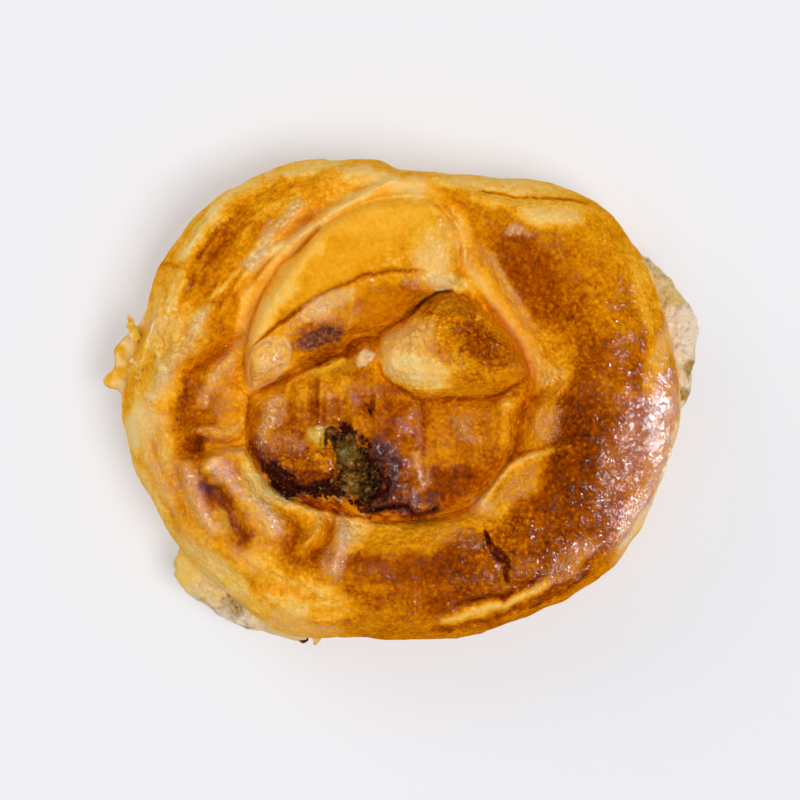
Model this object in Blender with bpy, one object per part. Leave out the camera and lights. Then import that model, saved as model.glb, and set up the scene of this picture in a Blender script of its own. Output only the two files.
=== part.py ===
"""A potato placinta: a rope of thin dough filled with potato, coiled and baked.

Run it with blender --background --python part.py, or from the text editor. The coil lies on
z = 0 with +Z up. Seen from above it winds clockwise from its inner end outwards, and its outer
end, the flat tail, is tucked under the last turn at +Y. Sizes and places are in millimetres and
angles in degrees anticlockwise from +X. Meshes are written in metres.
"""

import bpy
import numpy as np

# Heights above the surface that the coil rests on
RING_CROWN = 33.0
TAIL_CROWN = 25.0
BAND_CROWN = 34.0
NUGGET_CROWN = 36.0
LEFT_LUMP_CROWN = 31.5
RIGHT_LUMP_CROWN = 29.5
RIM_HEIGHT = 13.0
CREASE_FLOOR = 23.0
CREASE_STEP = 1.0

# How far the flat underside stays inside the widest outline
BASE_INSET = 7.0

# The potato filling: a rope inside the dough, with its centre this high
FILLING_HEIGHT = 12.5
FILLING_RADIUS = 8.5
INNER_FILLING_RADIUS = 6.5
FILLING_SIDES = 8
GAP = 0.3

# Fineness: points across the crust's square grid, rows down its side, and triangles kept
GRID = 181
SIDE_ROWS = 12
CRUST_TRIANGLES = 8000

# The point that the rays of the grid start from, and the grid level of the main crease
HUB = (-2.0, 4.5)
CREASE_LEVEL = 0.55

# The widest outline of the dough, clockwise from the tail's end
RIM = [
    (-22, 52.5), (-13.5, 52.5), (-5, 52.5), (0, 50.5), (9, 50), (20, 48.5), (31.5, 48),
    (43.5, 42.5), (53, 31.5), (57, 21.5), (60, 10.5), (61.5, 0), (60, -9), (54.5, -24.5),
    (44.5, -38), (28.5, -47), (16.5, -51), (4, -52), (-11, -52), (-22.5, -51.5),
    (-33, -46.5), (-47.5, -33.5), (-55, -20.5), (-59, -12), (-61, -1.5), (-60, 6),
    (-58, 13), (-56, 19), (-52, 29.5), (-43.5, 41.5), (-34.5, 47.5),
]

# The crease between the outer turn and what lies inside it, clockwise from the left
CREASE = [
    (-33, 1.5), (-34, 7.5), (-33.5, 14), (-30.5, 22), (-24, 30.5), (-17, 38.5), (-8, 43),
    (0, 44.5), (6.5, 44), (11, 40), (13, 31.5), (13, 24.5), (17, 21.5), (24, 14.5),
    (28.5, 7.5), (29, 1.5), (26, -4.5), (25, -10.5), (22, -15.5), (16, -22.5), (7.5, -25.5),
    (-5, -26.5), (-17.5, -23.5), (-28, -18.5), (-33, -9),
]

# The outer turn by angle: angle, crown height, rim height, crease height, how far out from the
# crease the crown lies, as a share of the width, and how round its inner side is, from 1 on
TURN = [
    (-165, 28.0, 11.0, 22.0, 0.48, 1.7),
    (-145, 30.5, 12.0, 22.5, 0.46, 1.8),
    (-120, 32.0, 13.0, 23.5, 0.42, 1.8),
    (-90, RING_CROWN, RIM_HEIGHT, 24.0, 0.40, 1.8),
    (-60, RING_CROWN, RIM_HEIGHT, 23.5, 0.40, 1.8),
    (-30, RING_CROWN, RIM_HEIGHT, 22.5, 0.42, 1.6),
    (0, RING_CROWN, RIM_HEIGHT, 22.5, 0.46, 1.3),
    (30, 32.5, RIM_HEIGHT, 23.0, 0.50, 1.15),
    (55, 31.5, RIM_HEIGHT, 25.0, 0.48, 1.3),
    (72, 30.0, RIM_HEIGHT, 27.5, 0.42, 1.6),
    (88, 27.5, 12.5, 26.0, 0.40, 1.7),
    (100, TAIL_CROWN - 1.5, 11.0, 22.5, 0.42, 1.7),
    (125, TAIL_CROWN, 10.5, 21.0, 0.42, 1.7),
    (150, TAIL_CROWN + 1.0, 10.5, 20.5, 0.45, 1.7),
    (175, TAIL_CROWN + 1.0, 10.0, 20.5, 0.46, 1.7),
]

# The lobes inside the crease: crown, width of the rounded edge, outline
BAND = [
    (-33.5, 1), (-35, 7.5), (-34.5, 14.5), (-31.5, 22.5), (-25, 31.5), (-17.5, 39.5), (-8, 44),
    (0, 45.5), (7, 45), (12, 40.5), (14, 31.5), (14, 24), (8, 23), (3, 19), (-3, 14),
    (-10, 12), (-10.5, 9), (-19, 6.5), (-28, 3),
]
NUGGET = [
    (-6, 7.5), (-5.5, 12.5), (-2, 16), (2, 18.5), (5.5, 22), (8.5, 23.5), (13, 24), (18, 22),
    (23, 17.5), (27, 13), (29.5, 8.5), (28.5, 5), (24, 2), (20, 0.5), (11, 0), (4.5, -0.5),
    (0, 1.5), (-3.5, 4),
]
LEFT_LUMP = [
    (-33.5, 0.5), (-28, 3.5), (-21, 6.5), (-14, 10.5), (-8, 14), (-2, 12), (-1, 5), (5.5, 0),
    (7.5, -9), (8.5, -17.5), (8, -26), (2, -27.5), (-5, -27.5), (-18, -24.5), (-29, -19.5),
    (-34, -9),
]
RIGHT_LUMP = [
    (4.5, 1), (11, 1.5), (20, 2), (24.5, 5), (30, 3.5), (27, -4.5), (26, -10.5), (23, -16),
    (16.5, -23.5), (7.5, -26.5), (3, -22), (1, -13.5), (2, -5.5),
]
LOBES = [
    (BAND_CROWN, 7.5, BAND),
    (NUGGET_CROWN, 12.0, NUGGET),
    (LEFT_LUMP_CROWN, 10.0, LEFT_LUMP),
    (RIGHT_LUMP_CROWN, 9.0, RIGHT_LUMP),
]
LOBE_ROUNDNESS = 1.8

# The band's fold line. Past it the band slopes down to the lumps
BAND_FOLD = [
    (-36, 6), (-32.5, 11), (-30, 14.5), (-26.5, 16.5), (-22, 20), (-17.5, 22.5), (-13.5, 24.5),
    (-9, 26), (-4.5, 27.5), (0, 28), (6, 28), (16, 27),
]
BAND_SLOPE = 0.45

# Where the filling has burst through the left lump
BURST = [
    (-16.5, -5.5), (-12, -4), (-8, -7), (-3.5, -11), (-2, -16.5), (-3, -21.5), (-8, -23),
    (-13.5, -21), (-15.5, -17.5), (-17, -12.5),
]
BURST_DEPTH = 5.0
BURST_TOP = 27.4

# Relief along lines: height (a groove is below 0), half width, points
LINES = [
    # the long split in the ring
    (-3.2, 0.8, [(18, -28), (20, -32), (23.2, -35.5), (23, -38), (23.5, -40)]),
    # the folds on the ring's inner edge
    (-1.6, 1.1, [(28, 0), (31.5, 2), (35.5, 4)]),
    (-1.8, 1.0, [(25, -12), (29.5, -11), (33.5, -9.5), (37.5, -8.5)]),
    (-1.5, 1.0, [(15.5, -23), (18.5, -24.5), (21.5, -27), (24.5, -29)]),
    # the groove under the top rim
    (-1.0, 0.9, [(17, 45.5), (24, 44.5), (32.5, 44), (41.5, 43)]),
    # the crease and ridge where the tail runs into the ring
    (-3.2, 1.8, [(-33.5, 14.5), (-37.5, 12), (-41.5, 9.5), (-46, 8), (-50.5, 4.5)]),
    (1.6, 2.0, [(-35, 18.5), (-39.5, 14.5), (-44, 12), (-49, 8), (-53.5, 3), (-57, -1.5)]),
    # folds that fan out from the left end of the lumps
    (1.2, 1.6, [(-33, -5.5), (-37, -7.5), (-41.5, -7.5), (-46.5, -7)]),
    (-1.6, 1.3, [(-33, -8.5), (-37, -10.5), (-42, -10.5), (-47, -10)]),
    (1.3, 1.8, [(-33, -11.5), (-37.5, -13.5), (-41.5, -17), (-44, -22)]),
    # wrinkles across the ring at the lower left
    (0.9, 1.0, [(-17, -24), (-17.5, -27.5), (-20.5, -31)]),
    (-1.1, 1.4, [(-14.5, -25), (-16, -30), (-19, -34)]),
    (0.8, 1.2, [(-11, -26.5), (-13.5, -30), (-14.5, -36)]),
    # long pleats on the side of the ring at the lower left
    (-0.8, 1.0, [(-53, -21), (-47, -29.5), (-39, -37), (-31, -42)]),
    # pleats along the tail
    (-0.9, 0.9, [(-45, 20), (-36, 28.5), (-26, 36), (-16, 42.5)]),
    (-0.8, 0.9, [(-52, 14), (-46, 24), (-38, 35), (-27, 43)]),
    (0.8, 1.1, [(-40, 23.5), (-31, 30.5), (-22, 37)]),
    # ridges down the right lump, and the crease between the lumps
    (1.2, 1.6, [(11.5, -2.5), (14, -6), (16, -10.5), (15, -15)]),
    (-1.3, 1.2, [(9, -4), (11.5, -9), (13.5, -14)]),
    (-1.2, 1.3, [(5.5, -1), (6, -6), (7, -11)]),
    (-0.9, 1.2, [(15.5, -0.5), (18, -6), (20, -11)]),
    # ridges down the left lump
    (0.8, 1.1, [(-22.5, 5), (-22.5, 0), (-22, -5)]),
    (-0.7, 1.0, [(-19, 5.5), (-18.5, 0), (-18, -4)]),
    (-0.9, 1.0, [(-7, 1), (-6.5, -2.5)]),
    # the lip of dough in front of the burst
    (1.3, 0.9, [(-19, -22.5), (-13.5, -24), (-8, -26), (-2, -26.2), (1.5, -25.5)]),
]

# Steps, each with the higher side on the left of the line: height, reach, points
STEPS = [
    # the lip low on the ring at the lower right
    (0.9, 1.6, [(6.5, -47), (17.5, -46), (28.5, -44), (37, -40.5), (43.5, -35), (47, -31)]),
    # the end of the last turn lying on the tail
    (1.7, 3.5, [(1.5, 50), (-4, 47), (-10.5, 43.5), (-16.5, 40.5), (-22, 36), (-27.5, 31),
                (-32, 25.5)]),
]

# Round dents and swellings: height, radius, place
SPOTS = [
    (-1.8, 2.6, (-48, -4.5)),
    (-1.4, 2.4, (-44.5, -10.5)),
    (-1.5, 2.2, (-44, 2.5)),
    (-2.5, 2.2, (-6.5, -1.5)),
    (0.9, 4.2, (-28, 9)),
    (-4.0, 6.0, (12, 30.5)),
    (-2.0, 5.0, (12, -18)),
    (1.2, 5.0, (33, 40)),
    (-1.2, 4.0, (-51, 29)),
]

# Torn flakes on the tail's side: root, tip, height of the root, width at root and tip
FLAKES = [
    ((-53, 12), (-62.8, 11), 10.5, 13.0, 5.0),
    ((-53, 16), (-61, 15.5), 12.5, 8.0, 3.0),
    ((-54.5, 13), (-59.6, 18.8), 11.5, 7.0, 1.5),
    ((-54, 7.5), (-62, 7), 9.5, 10.0, 5.5),
    ((-56, 4), (-65, 3.5), 8.5, 5.0, 1.6),
    ((-55, 1.5), (-61.8, 1), 11.5, 8.0, 4.0),
]
FLAKE_THICKNESS = 1.8
FLAKE_SIDES = 8

# The middle of the filling, from the tail's end inwards
FILLING_PATH = [
    (-15.5, 43), (-33, 34), (-43.5, 19.5), (-48, 2), (-45.5, -13.5), (-35, -28), (-17.5, -38),
    (4, -39.5), (25, -34.5), (41, -22), (46, -4.5), (43, 15), (32.5, 30), (17.5, 36.5),
    (2, 34.5), (-14, 27), (-24.5, 15), (-25, 3), (-21.5, -9), (-5, -14), (12, -12),
    (20, -2), (15, 9.5), (3, 9.5),
]

# Leaks of filling through the dough's side: height of the middle, thickness, outline
LEAKS = [
    (5.5, 9.0, [
        (-48, -34), (-49, -39.5), (-46, -42.5), (-43, -45), (-38, -48.5), (-31, -50.5),
        (-29, -45), (-33, -37), (-39, -32),
    ]),
    (7.5, 9.5, [
        (52.5, 31), (57.5, 28.5), (62, 23), (65, 17.5), (65, 10.5), (63.5, 2), (61.5, -2),
        (58.5, 1), (57.5, 8), (51, 12), (50, 17), (54.5, 21), (53.5, 26),
    ]),
]


def smooth(points, closed=False, step=2.0):
    """Even points on a Catmull-Rom curve: between two given points it is a cubic whose slope at
    each is half the way between that point's neighbours."""
    p = np.array(points, float)
    if closed:
        p = np.vstack([p[-1:], p, p[:2]])
    else:
        p = np.vstack([2 * p[:1] - p[1:2], p, 2 * p[-1:] - p[-2:-1]])
    t = np.linspace(0, 1, 12, endpoint=False)[:, None]
    spans = [
        0.5 * (2 * b + (c - a) * t + (2 * a - 5 * b + 4 * c - d) * t**2
               + (3 * b - a - 3 * c + d) * t**3)
        for a, b, c, d in zip(p, p[1:], p[2:], p[3:])
    ]
    curve = np.vstack(spans + [p[-2:-1]])
    length = np.linalg.norm(np.diff(curve, axis=0), axis=1).cumsum()
    length = np.concatenate([[0], length])
    even = np.linspace(0, length[-1], max(2, round(length[-1] / step)) + 1)
    even = np.column_stack([np.interp(even, length, column) for column in curve.T])
    return even[:-1] if closed else even


def along(x, y, path):
    """The distance to a path of straight pieces, the share of the way along it, and the side:
    1 on its left and -1 on its right."""
    near = np.full(x.shape, np.inf)
    share = np.zeros(x.shape)
    side = np.ones(x.shape)
    for k, (start, end) in enumerate(zip(path[:-1], path[1:])):
        run = end - start
        t = ((x - start[0]) * run[0] + (y - start[1]) * run[1]) / (run @ run)
        t = t.clip(0, 1)
        across = x - start[0] - t * run[0]
        up = y - start[1] - t * run[1]
        far = np.hypot(across, up)
        closer = far < near
        near = np.where(closer, far, near)
        share = np.where(closer, (k + t) / (len(path) - 1), share)
        side = np.where(closer, np.sign(run[0] * up - run[1] * across), side)
    return near, share, side


def depth_in(x, y, outline):
    """The distance to a closed outline, above 0 inside it."""
    loop = smooth(outline, closed=True)
    loop = np.vstack([loop, loop[:1]])
    near = along(x, y, loop)[0]
    inside = np.zeros(x.shape, bool)
    for start, end in zip(loop[:-1], loop[1:]):
        rise = end[1] - start[1]
        if rise == 0:
            continue
        crosses = (start[1] > y) != (end[1] > y)
        inside ^= crosses & (x < start[0] + (y - start[1]) * (end[0] - start[0]) / rise)
    return np.where(inside, near, -near)


def swell(t, power=2.0):
    """A round shoulder that climbs from 0 to 1 as t does: part of a superellipse."""
    t = np.clip(t, 0, 1)
    return (1 - (1 - t) ** power) ** (1 / power)


def bell(distance, width):
    return np.exp(-((distance / width) ** 2))


def ease(t):
    t = np.clip(t, 0, 1)
    return t * t * (3 - 2 * t)


def ripples(x, y, z, size, seed):
    """Smooth noise from -1 to 1: random values on a cubic lattice with this spacing, eased
    between its points."""
    values = np.random.default_rng(seed).uniform(-1, 1, (32, 32, 32))
    corner, part = [], []
    for axis in (x, y, z):
        cell = np.floor(axis / size)
        corner.append(cell.astype(int))
        part.append(ease(axis / size - cell))
    total = 0
    for a in (0, 1):
        for b in (0, 1):
            for c in (0, 1):
                share = 1
                for step, p in zip((a, b, c), part):
                    share = share * (p if step else 1 - p)
                i, j, k = [(n + step) % 32 for n, step in zip(corner, (a, b, c))]
                total = total + share * values[i, j, k]
    return total


def turn_sizes(angle):
    """The outer turn's sizes at each angle, each the mean of five places within 12 degrees, so
    that they change smoothly."""
    table = np.array(TURN)
    degrees = np.degrees(angle)
    return [
        np.mean(
            [np.interp(degrees + d, table[:, 0], column, period=360) for d in range(-12, 13, 6)],
            axis=0,
        )
        for column in table[:, 1:].T
    ]


def reach(angle, outline):
    """The distance from the hub to an outline at each angle."""
    loop = smooth(outline, closed=True, step=1.0) - HUB
    return np.interp(
        angle,
        np.arctan2(loop[:, 1], loop[:, 0]),
        np.hypot(loop[:, 0], loop[:, 1]),
        period=2 * np.pi,
    )


def disc(count):
    """A square grid bent into a disc: each square ring becomes a round one. Gives the level, 0 in
    the middle and 1 at the edge, and the angle."""
    a, b = np.meshgrid(np.linspace(-1, 1, count), np.linspace(-1, 1, count))
    level = np.maximum(abs(a), abs(b))
    wide = abs(a) >= abs(b)
    longer = np.where(wide, a, b)
    shorter = np.where(wide, b, a)
    turn = np.pi / 4 * shorter / np.where(longer == 0, 1, longer)
    behind = np.where(longer < 0, np.pi, 0)
    angle = np.where(wide, behind + turn, np.pi / 2 - turn + behind)
    return level, angle


def outer_turn_height(angle, share):
    """The outer turn: two round shoulders that meet at its crown. share runs from 0 at the crease
    to 1 at the rim."""
    crown, rim, crease, place, roundness = turn_sizes(angle)
    outer = rim + (crown - rim) * swell((1 - share) / (1 - place), 2.1)
    inner = crease + (crown - crease) * swell(share / place, roundness)
    return np.where(share > place, outer, inner)


def middle_height(x, y, floor):
    """The highest of the lobes, each a cushion over its own outline, with the band bent down past
    its fold line."""
    height = floor
    for crown, edge, outline in LOBES:
        rise = swell(depth_in(x, y, outline) / edge, LOBE_ROUNDNESS)
        lobe = floor + (crown - floor) * rise
        if outline is BAND:
            near, share, side = along(x, y, smooth(BAND_FOLD))
            slope = BAND_SLOPE * ease(4 * (1 - share))
            lobe = lobe - np.where(side < 0, slope * near, 0)
        height = np.maximum(height, lobe)
    return height


def relief(x, y):
    """What the lines, steps, spots and the burst add to the height."""
    total = np.zeros(x.shape)
    for rise, width, points in LINES:
        near, share, _ = along(x, y, smooth(points))
        total += rise * bell(near, width) * swell(6 * np.minimum(share, 1 - share))
    for rise, width, points in STEPS:
        near, share, side = along(x, y, smooth(points))
        fade = swell(6 * np.minimum(share, 1 - share))
        total += rise * np.tanh(side * near / 0.5) * np.exp(-near / width) * fade
    for rise, radius, place in SPOTS:
        total += rise * bell(np.hypot(x - place[0], y - place[1]), radius)
    return total - BURST_DEPTH * ease(0.5 + depth_in(x, y, BURST) / 3)


def crust_top(count):
    """The top of the crust on a square grid: the place, the direction that its roughness pushes
    it in, and the angle."""
    level, angle = disc(count)
    crease = reach(angle, CREASE)
    rim = reach(angle, RIM)
    beyond = ((level - CREASE_LEVEL) / (1 - CREASE_LEVEL)).clip(0, 1)
    share = np.sin(np.pi / 2 * beyond)
    radius = np.where(
        level > CREASE_LEVEL, crease + (rim - crease) * share, crease * level / CREASE_LEVEL
    )
    x = HUB[0] + radius * np.cos(angle)
    y = HUB[1] + radius * np.sin(angle)
    on_turn = level >= CREASE_LEVEL - 1e-6
    crease_height, place = turn_sizes(angle)[2:4]
    near_crease = (level / CREASE_LEVEL).clip(0, 1) ** 6
    floor = CREASE_FLOOR + (crease_height - CREASE_STEP - CREASE_FLOOR) * near_crease
    z = np.where(on_turn, outer_turn_height(angle, share), middle_height(x, y, floor))
    lean = np.where(on_turn, ((share - place) / (1 - place)).clip(0, 1), 0)
    z = z + relief(x, y) * np.sqrt(1 - lean**2)
    push = [lean * np.cos(angle), lean * np.sin(angle), np.sqrt(1 - lean**2)]
    return np.stack([x, y, z], -1), np.stack(push, -1), angle


def edge_of(grid):
    """The edge of a square grid in order, anticlockwise."""
    return np.concatenate([grid[0, :-1], grid[:-1, -1], grid[-1, :0:-1], grid[:0:-1, 0]])


def quads(rows):
    """The faces between the rows of a grid of point numbers."""
    faces = [rows[:-1, :-1], rows[:-1, 1:], rows[1:, 1:], rows[1:, :-1]]
    return np.stack(faces, -1).reshape(-1, 4)


def roughen(places, push, amount):
    """Moves each place along its push by uneven noise of two sizes."""
    x, y, z = np.moveaxis(places, -1, 0)
    noise = 0.5 * ripples(x, y, z, 9.0, 1) + 0.3 * ripples(x, y, z, 4.0, 2)
    return places + push * (amount * noise)[..., None]


def crust_mesh():
    """The whole outside of the dough: the top, the side that curls under it as a quarter of an
    ellipse, and the flat underside."""
    top, push, angle = crust_top(GRID)
    top = roughen(top, push, 1.0)
    numbers = np.arange(GRID * GRID).reshape(GRID, GRID)
    ring = edge_of(numbers)
    edge = edge_of(top)
    turn = edge_of(angle)
    rim = edge[:, 2:3]
    outward = np.stack([np.cos(turn), np.sin(turn), 0 * turn], -1)
    down = np.radians(np.linspace(0, 90, SIDE_ROWS + 1))[1:, None, None]
    side = edge[None] - BASE_INSET * (1 - np.cos(down)) * outward
    side[..., 2] = (rim * (1 - np.sin(down)))[..., 0]
    side = roughen(side, outward[None] * np.cos(down), 1.0)
    level, base_angle = disc(GRID)
    around = np.hypot(side[-1, :, 0] - HUB[0], side[-1, :, 1] - HUB[1])
    order = np.argsort(turn % (2 * np.pi))
    radius = level * np.interp(
        base_angle % (2 * np.pi), (turn % (2 * np.pi))[order], around[order], period=2 * np.pi
    )
    base = np.stack(
        [HUB[0] + radius * np.cos(base_angle), HUB[1] + radius * np.sin(base_angle), 0 * radius],
        -1,
    )
    side_numbers = GRID * GRID + np.arange(side.shape[0] * len(ring)).reshape(-1, len(ring))
    rows = np.vstack([ring, side_numbers])
    rows = np.hstack([rows, rows[:, :1]])
    base_numbers = np.full((GRID, GRID), -1)
    base_numbers[1:-1, 1:-1] = side_numbers.max() + 1 + np.arange((GRID - 2) ** 2).reshape(
        GRID - 2, GRID - 2
    )
    last = side_numbers[-1]
    n = GRID - 1
    base_numbers[0, :-1] = last[:n]
    base_numbers[:-1, -1] = last[n:2 * n]
    base_numbers[-1, :0:-1] = last[2 * n:3 * n]
    base_numbers[:0:-1, 0] = last[3 * n:]
    places = np.vstack([top.reshape(-1, 3), side.reshape(-1, 3), base[1:-1, 1:-1].reshape(-1, 3)])
    faces = np.vstack([quads(numbers), quads(rows)[:, ::-1], quads(base_numbers)[:, ::-1]])
    return new_mesh("crust", places, faces)


def new_mesh(name, places, faces):
    """A mesh in metres from places in millimetres."""
    mesh = bpy.data.meshes.new(name)
    mesh.from_pydata((places / 1000).tolist(), [], faces.tolist())
    mesh.validate()
    return mesh


def evaluated_copy(obj):
    """The object's mesh with its modifiers applied."""
    bpy.context.view_layer.update()
    graph = bpy.context.evaluated_depsgraph_get()
    return bpy.data.meshes.new_from_object(obj.evaluated_get(graph))


def add(name, mesh, collection=None):
    obj = bpy.data.objects.new(name, mesh)
    (collection or bpy.context.scene.collection).objects.link(obj)
    return obj


def thinned(mesh, triangles):
    """The mesh with its flatter triangles merged until about this many are left, and its
    underside laid flat again."""
    obj = add("thinning", mesh)
    modifier = obj.modifiers.new("merge", "DECIMATE")
    modifier.ratio = triangles / (2 * len(mesh.polygons))
    modifier.use_collapse_triangulate = True
    thin = evaluated_copy(obj)
    bpy.data.objects.remove(obj)
    places = np.empty(len(thin.vertices) * 3, np.float32)
    thin.vertices.foreach_get("co", places)
    places = places.reshape(-1, 3)
    places[places[:, 2] < 0.00025, 2] = 0
    thin.vertices.foreach_set("co", places.ravel())
    thin.update()
    return thin


def tube(path, wide, high, sides):
    """A closed tube round a path in space, with flat ends: each ring is an ellipse that stands
    square to the path, with its half width and half height."""
    path = np.array(path, float)
    ahead = np.gradient(path, axis=0)
    ahead /= np.linalg.norm(ahead, axis=1, keepdims=True)
    level = np.cross(ahead, (0, 0, 1))
    level /= np.linalg.norm(level, axis=1, keepdims=True)
    up = np.cross(level, ahead)
    turn = (2 * np.pi * (np.arange(sides) + 0.5) / sides)[None, :, None]
    across = np.cos(turn) * (level * wide[:, None])[:, None]
    along_up = np.sin(turn) * (up * high[:, None])[:, None]
    places = (path[:, None] + across + along_up).reshape(-1, 3)
    rows = np.arange(len(path) * sides).reshape(-1, sides)
    rows = np.hstack([rows, rows[:, :1]])
    ends = np.vstack([places, path[:1], path[-1:]])
    first, last = len(places), len(places) + 1
    caps = [[first, rows[0, k], rows[0, k + 1]] for k in range(sides)]
    caps += [[last, rows[-1, k + 1], rows[-1, k]] for k in range(sides)]
    return ends, quads(rows)[:, ::-1].tolist() + caps


def outward_mesh(name, places, faces):
    """A mesh from mixed faces, turned inside out if its volume comes out below 0."""
    mesh = bpy.data.meshes.new(name)
    mesh.from_pydata((np.array(places) / 1000).tolist(), [], [list(f) for f in faces])
    mesh.validate()
    mesh.calc_loop_triangles()
    points = np.array([v.co[:] for v in mesh.vertices])
    corners = points[np.array([t.vertices[:] for t in mesh.loop_triangles])]
    if np.linalg.det(corners).sum() < 0:
        mesh.flip_normals()
    return mesh


def filling_rope(grow):
    """The filling inside the rope of dough: an eight-sided tube that is thinner in the tail and in
    the inner turn."""
    path = smooth(FILLING_PATH, step=6.5)
    share = np.linspace(0, 1, len(path))
    radius = np.interp(
        share,
        [0, 0.05, 0.14, 0.5, 0.62, 0.75, 1],
        [4, 5.5, FILLING_RADIUS, FILLING_RADIUS, INNER_FILLING_RADIUS, INNER_FILLING_RADIUS, 5],
    )
    path = np.column_stack([path, np.full(len(path), FILLING_HEIGHT)])
    path[0, :2] += grow * (path[0] - path[1])[:2] / np.linalg.norm(path[0] - path[1])
    path[-1, :2] += grow * (path[-1] - path[-2])[:2] / np.linalg.norm(path[-1] - path[-2])
    return outward_mesh("rope", *tube(path, radius + grow, radius + grow, FILLING_SIDES))


def slab(outline, top, bottom, count, grow):
    """A closed block over an outline: its top and bottom are heights worked out on a disc grid by
    the two functions, and its wall is straight."""
    loop = smooth(outline, closed=True, step=1.0)
    centre = loop.mean(0)
    ahead = np.roll(loop, -1, 0) - np.roll(loop, 1, 0)
    square = np.column_stack([ahead[:, 1], -ahead[:, 0]])
    square /= np.linalg.norm(square, axis=1, keepdims=True)
    outwards = np.sign((square * (loop - centre)).sum())
    arm = loop + grow * outwards * square - centre
    level, angle = disc(count)
    radius = np.interp(
        angle, np.arctan2(arm[:, 1], arm[:, 0]), np.hypot(arm[:, 0], arm[:, 1]), period=2 * np.pi
    )
    x = centre[0] + level * radius * np.cos(angle)
    y = centre[1] + level * radius * np.sin(angle)
    upper = np.stack([x, y, top(x, y, level) + grow], -1).reshape(-1, 3)
    lower = np.stack([x, y, bottom(x, y, level) - grow], -1).reshape(-1, 3)
    numbers = np.arange(count * count).reshape(count, count)
    ring = np.append(edge_of(numbers), numbers[0, 0])
    wall = quads(np.vstack([ring, ring + count * count]))
    faces = np.vstack([quads(numbers), quads(numbers)[:, ::-1] + count * count, wall[:, ::-1]])
    return outward_mesh("slab", np.vstack([upper, lower]), faces)


def burst_mound(grow):
    """The filling in the burst: potato lumps between the rope and the open crust. Grown, it is
    the room for them, which goes on up through the crust."""
    def top(x, y, level):
        if grow:
            return NUGGET_CROWN + 0 * x
        return BURST_TOP + 1.5 * ripples(x, y, 0 * x, 4.5, 7) - 1.2 * level**2

    return slab(BURST, top, lambda x, y, level: 14 + 0 * x, 15, grow)


def leak(middle, thickness, outline, seed, grow):
    """A crust of filling that boiled out through the side: a flat cushion with an uneven top."""
    def half(x, y, level):
        bumps = 0.6 * ripples(x, y, 0 * x, 4.0, seed)
        return (thickness / 2 + bumps) * np.sqrt(1 - 0.85 * level**4)

    return slab(
        outline,
        lambda x, y, level: middle + half(x, y, level),
        lambda x, y, level: np.maximum(middle - half(x, y, level), 1.0),
        11,
        grow,
    )


def flake(root, tip, height, root_width, tip_width):
    """A torn tongue of dough: a flat tube that narrows and droops towards its tip."""
    share = np.linspace(0, 1, 4)[:, None]
    path = np.array(root) + (np.array(tip) - root) * share
    path = np.column_stack([path, height - 1.5 * share**2])
    wide = (root_width + (tip_width - root_width) * share[:, 0]) / 2
    high = FLAKE_THICKNESS / 2 * (1 - 0.55 * share[:, 0])
    return outward_mesh("flake", *tube(path, wide, high, FLAKE_SIDES))


def joined(first, others, name):
    """One solid: the first mesh with the others joined to it by a Boolean union."""
    group = bpy.data.collections.new(name + " pieces")
    bpy.context.scene.collection.children.link(group)
    for number, mesh in enumerate(others):
        add(f"{name} piece {number}", mesh, group)
    obj = add(name, first)
    union = obj.modifiers.new("join", "BOOLEAN")
    union.operation = "UNION"
    union.operand_type = "COLLECTION"
    union.collection = group
    union.solver = "EXACT"
    obj.data = evaluated_copy(obj)
    obj.modifiers.clear()
    for piece in list(group.objects):
        bpy.data.objects.remove(piece)
    bpy.data.collections.remove(group)
    return obj


def filling(name, grow):
    """The rope of filling with the burst and the two leaks, all grown by this much."""
    pieces = [burst_mound(grow)]
    for seed, (middle, thickness, outline) in enumerate(LEAKS):
        pieces.append(leak(middle, thickness, outline, 11 + seed, grow))
    return joined(filling_rope(grow), pieces, name)


def material(name, colour, roughness):
    made = bpy.data.materials.new(name)
    made.use_nodes = True
    shader = made.node_tree.nodes["Principled BSDF"]
    shader.inputs["Base Color"].default_value = (*colour, 1)
    shader.inputs["Roughness"].default_value = roughness
    made.diffuse_color = (*colour, 1)
    return made


def main():
    for obj in list(bpy.data.objects):
        bpy.data.objects.remove(obj)

    potato = filling("potato_filling", 0)
    potato.data.materials.append(material("potato filling", (0.35, 0.22, 0.06), 0.6))

    room = filling("filling_room", GAP)
    room.hide_render = True
    room.display_type = "WIRE"

    pastry = joined(thinned(crust_mesh(), CRUST_TRIANGLES), [flake(*f) for f in FLAKES],
                    "pastry_coil")
    hollow = pastry.modifiers.new("hollow", "BOOLEAN")
    hollow.object = room
    hollow.solver = "EXACT"
    pastry.data.materials.append(material("baked dough", (0.62, 0.27, 0.04), 0.4))


main()
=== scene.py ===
"""The looks of a potato placinta: a coil of thin egg-washed dough, baked over a potato filling.

It is laid out as an add-on and run as a script. Sizes in the panel are in metres. Inside the
functions, lengths are in millimetres and angles in degrees anticlockwise from +X. Places on the
crust that were read from the photograph are pixels of its 800 x 800 frame, turned to millimetres
by from_photo().
"""

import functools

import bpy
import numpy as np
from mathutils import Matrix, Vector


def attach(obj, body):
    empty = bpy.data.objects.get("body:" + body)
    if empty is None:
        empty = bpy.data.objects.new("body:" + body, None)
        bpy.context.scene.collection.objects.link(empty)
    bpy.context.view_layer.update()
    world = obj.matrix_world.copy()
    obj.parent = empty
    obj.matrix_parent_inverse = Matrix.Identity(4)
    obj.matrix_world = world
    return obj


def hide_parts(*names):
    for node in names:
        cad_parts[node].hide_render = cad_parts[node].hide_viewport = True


bl_info = {
    "name": "Potato placinta",
    "version": (1, 0, 0),
    "blender": (4, 5, 0),
    "location": "View3D > Sidebar > Placinta",
    "description": "A coiled pastry with a burst crust, leaks of filling, and its studio stage",
    "category": "Add Mesh",
}

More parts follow.
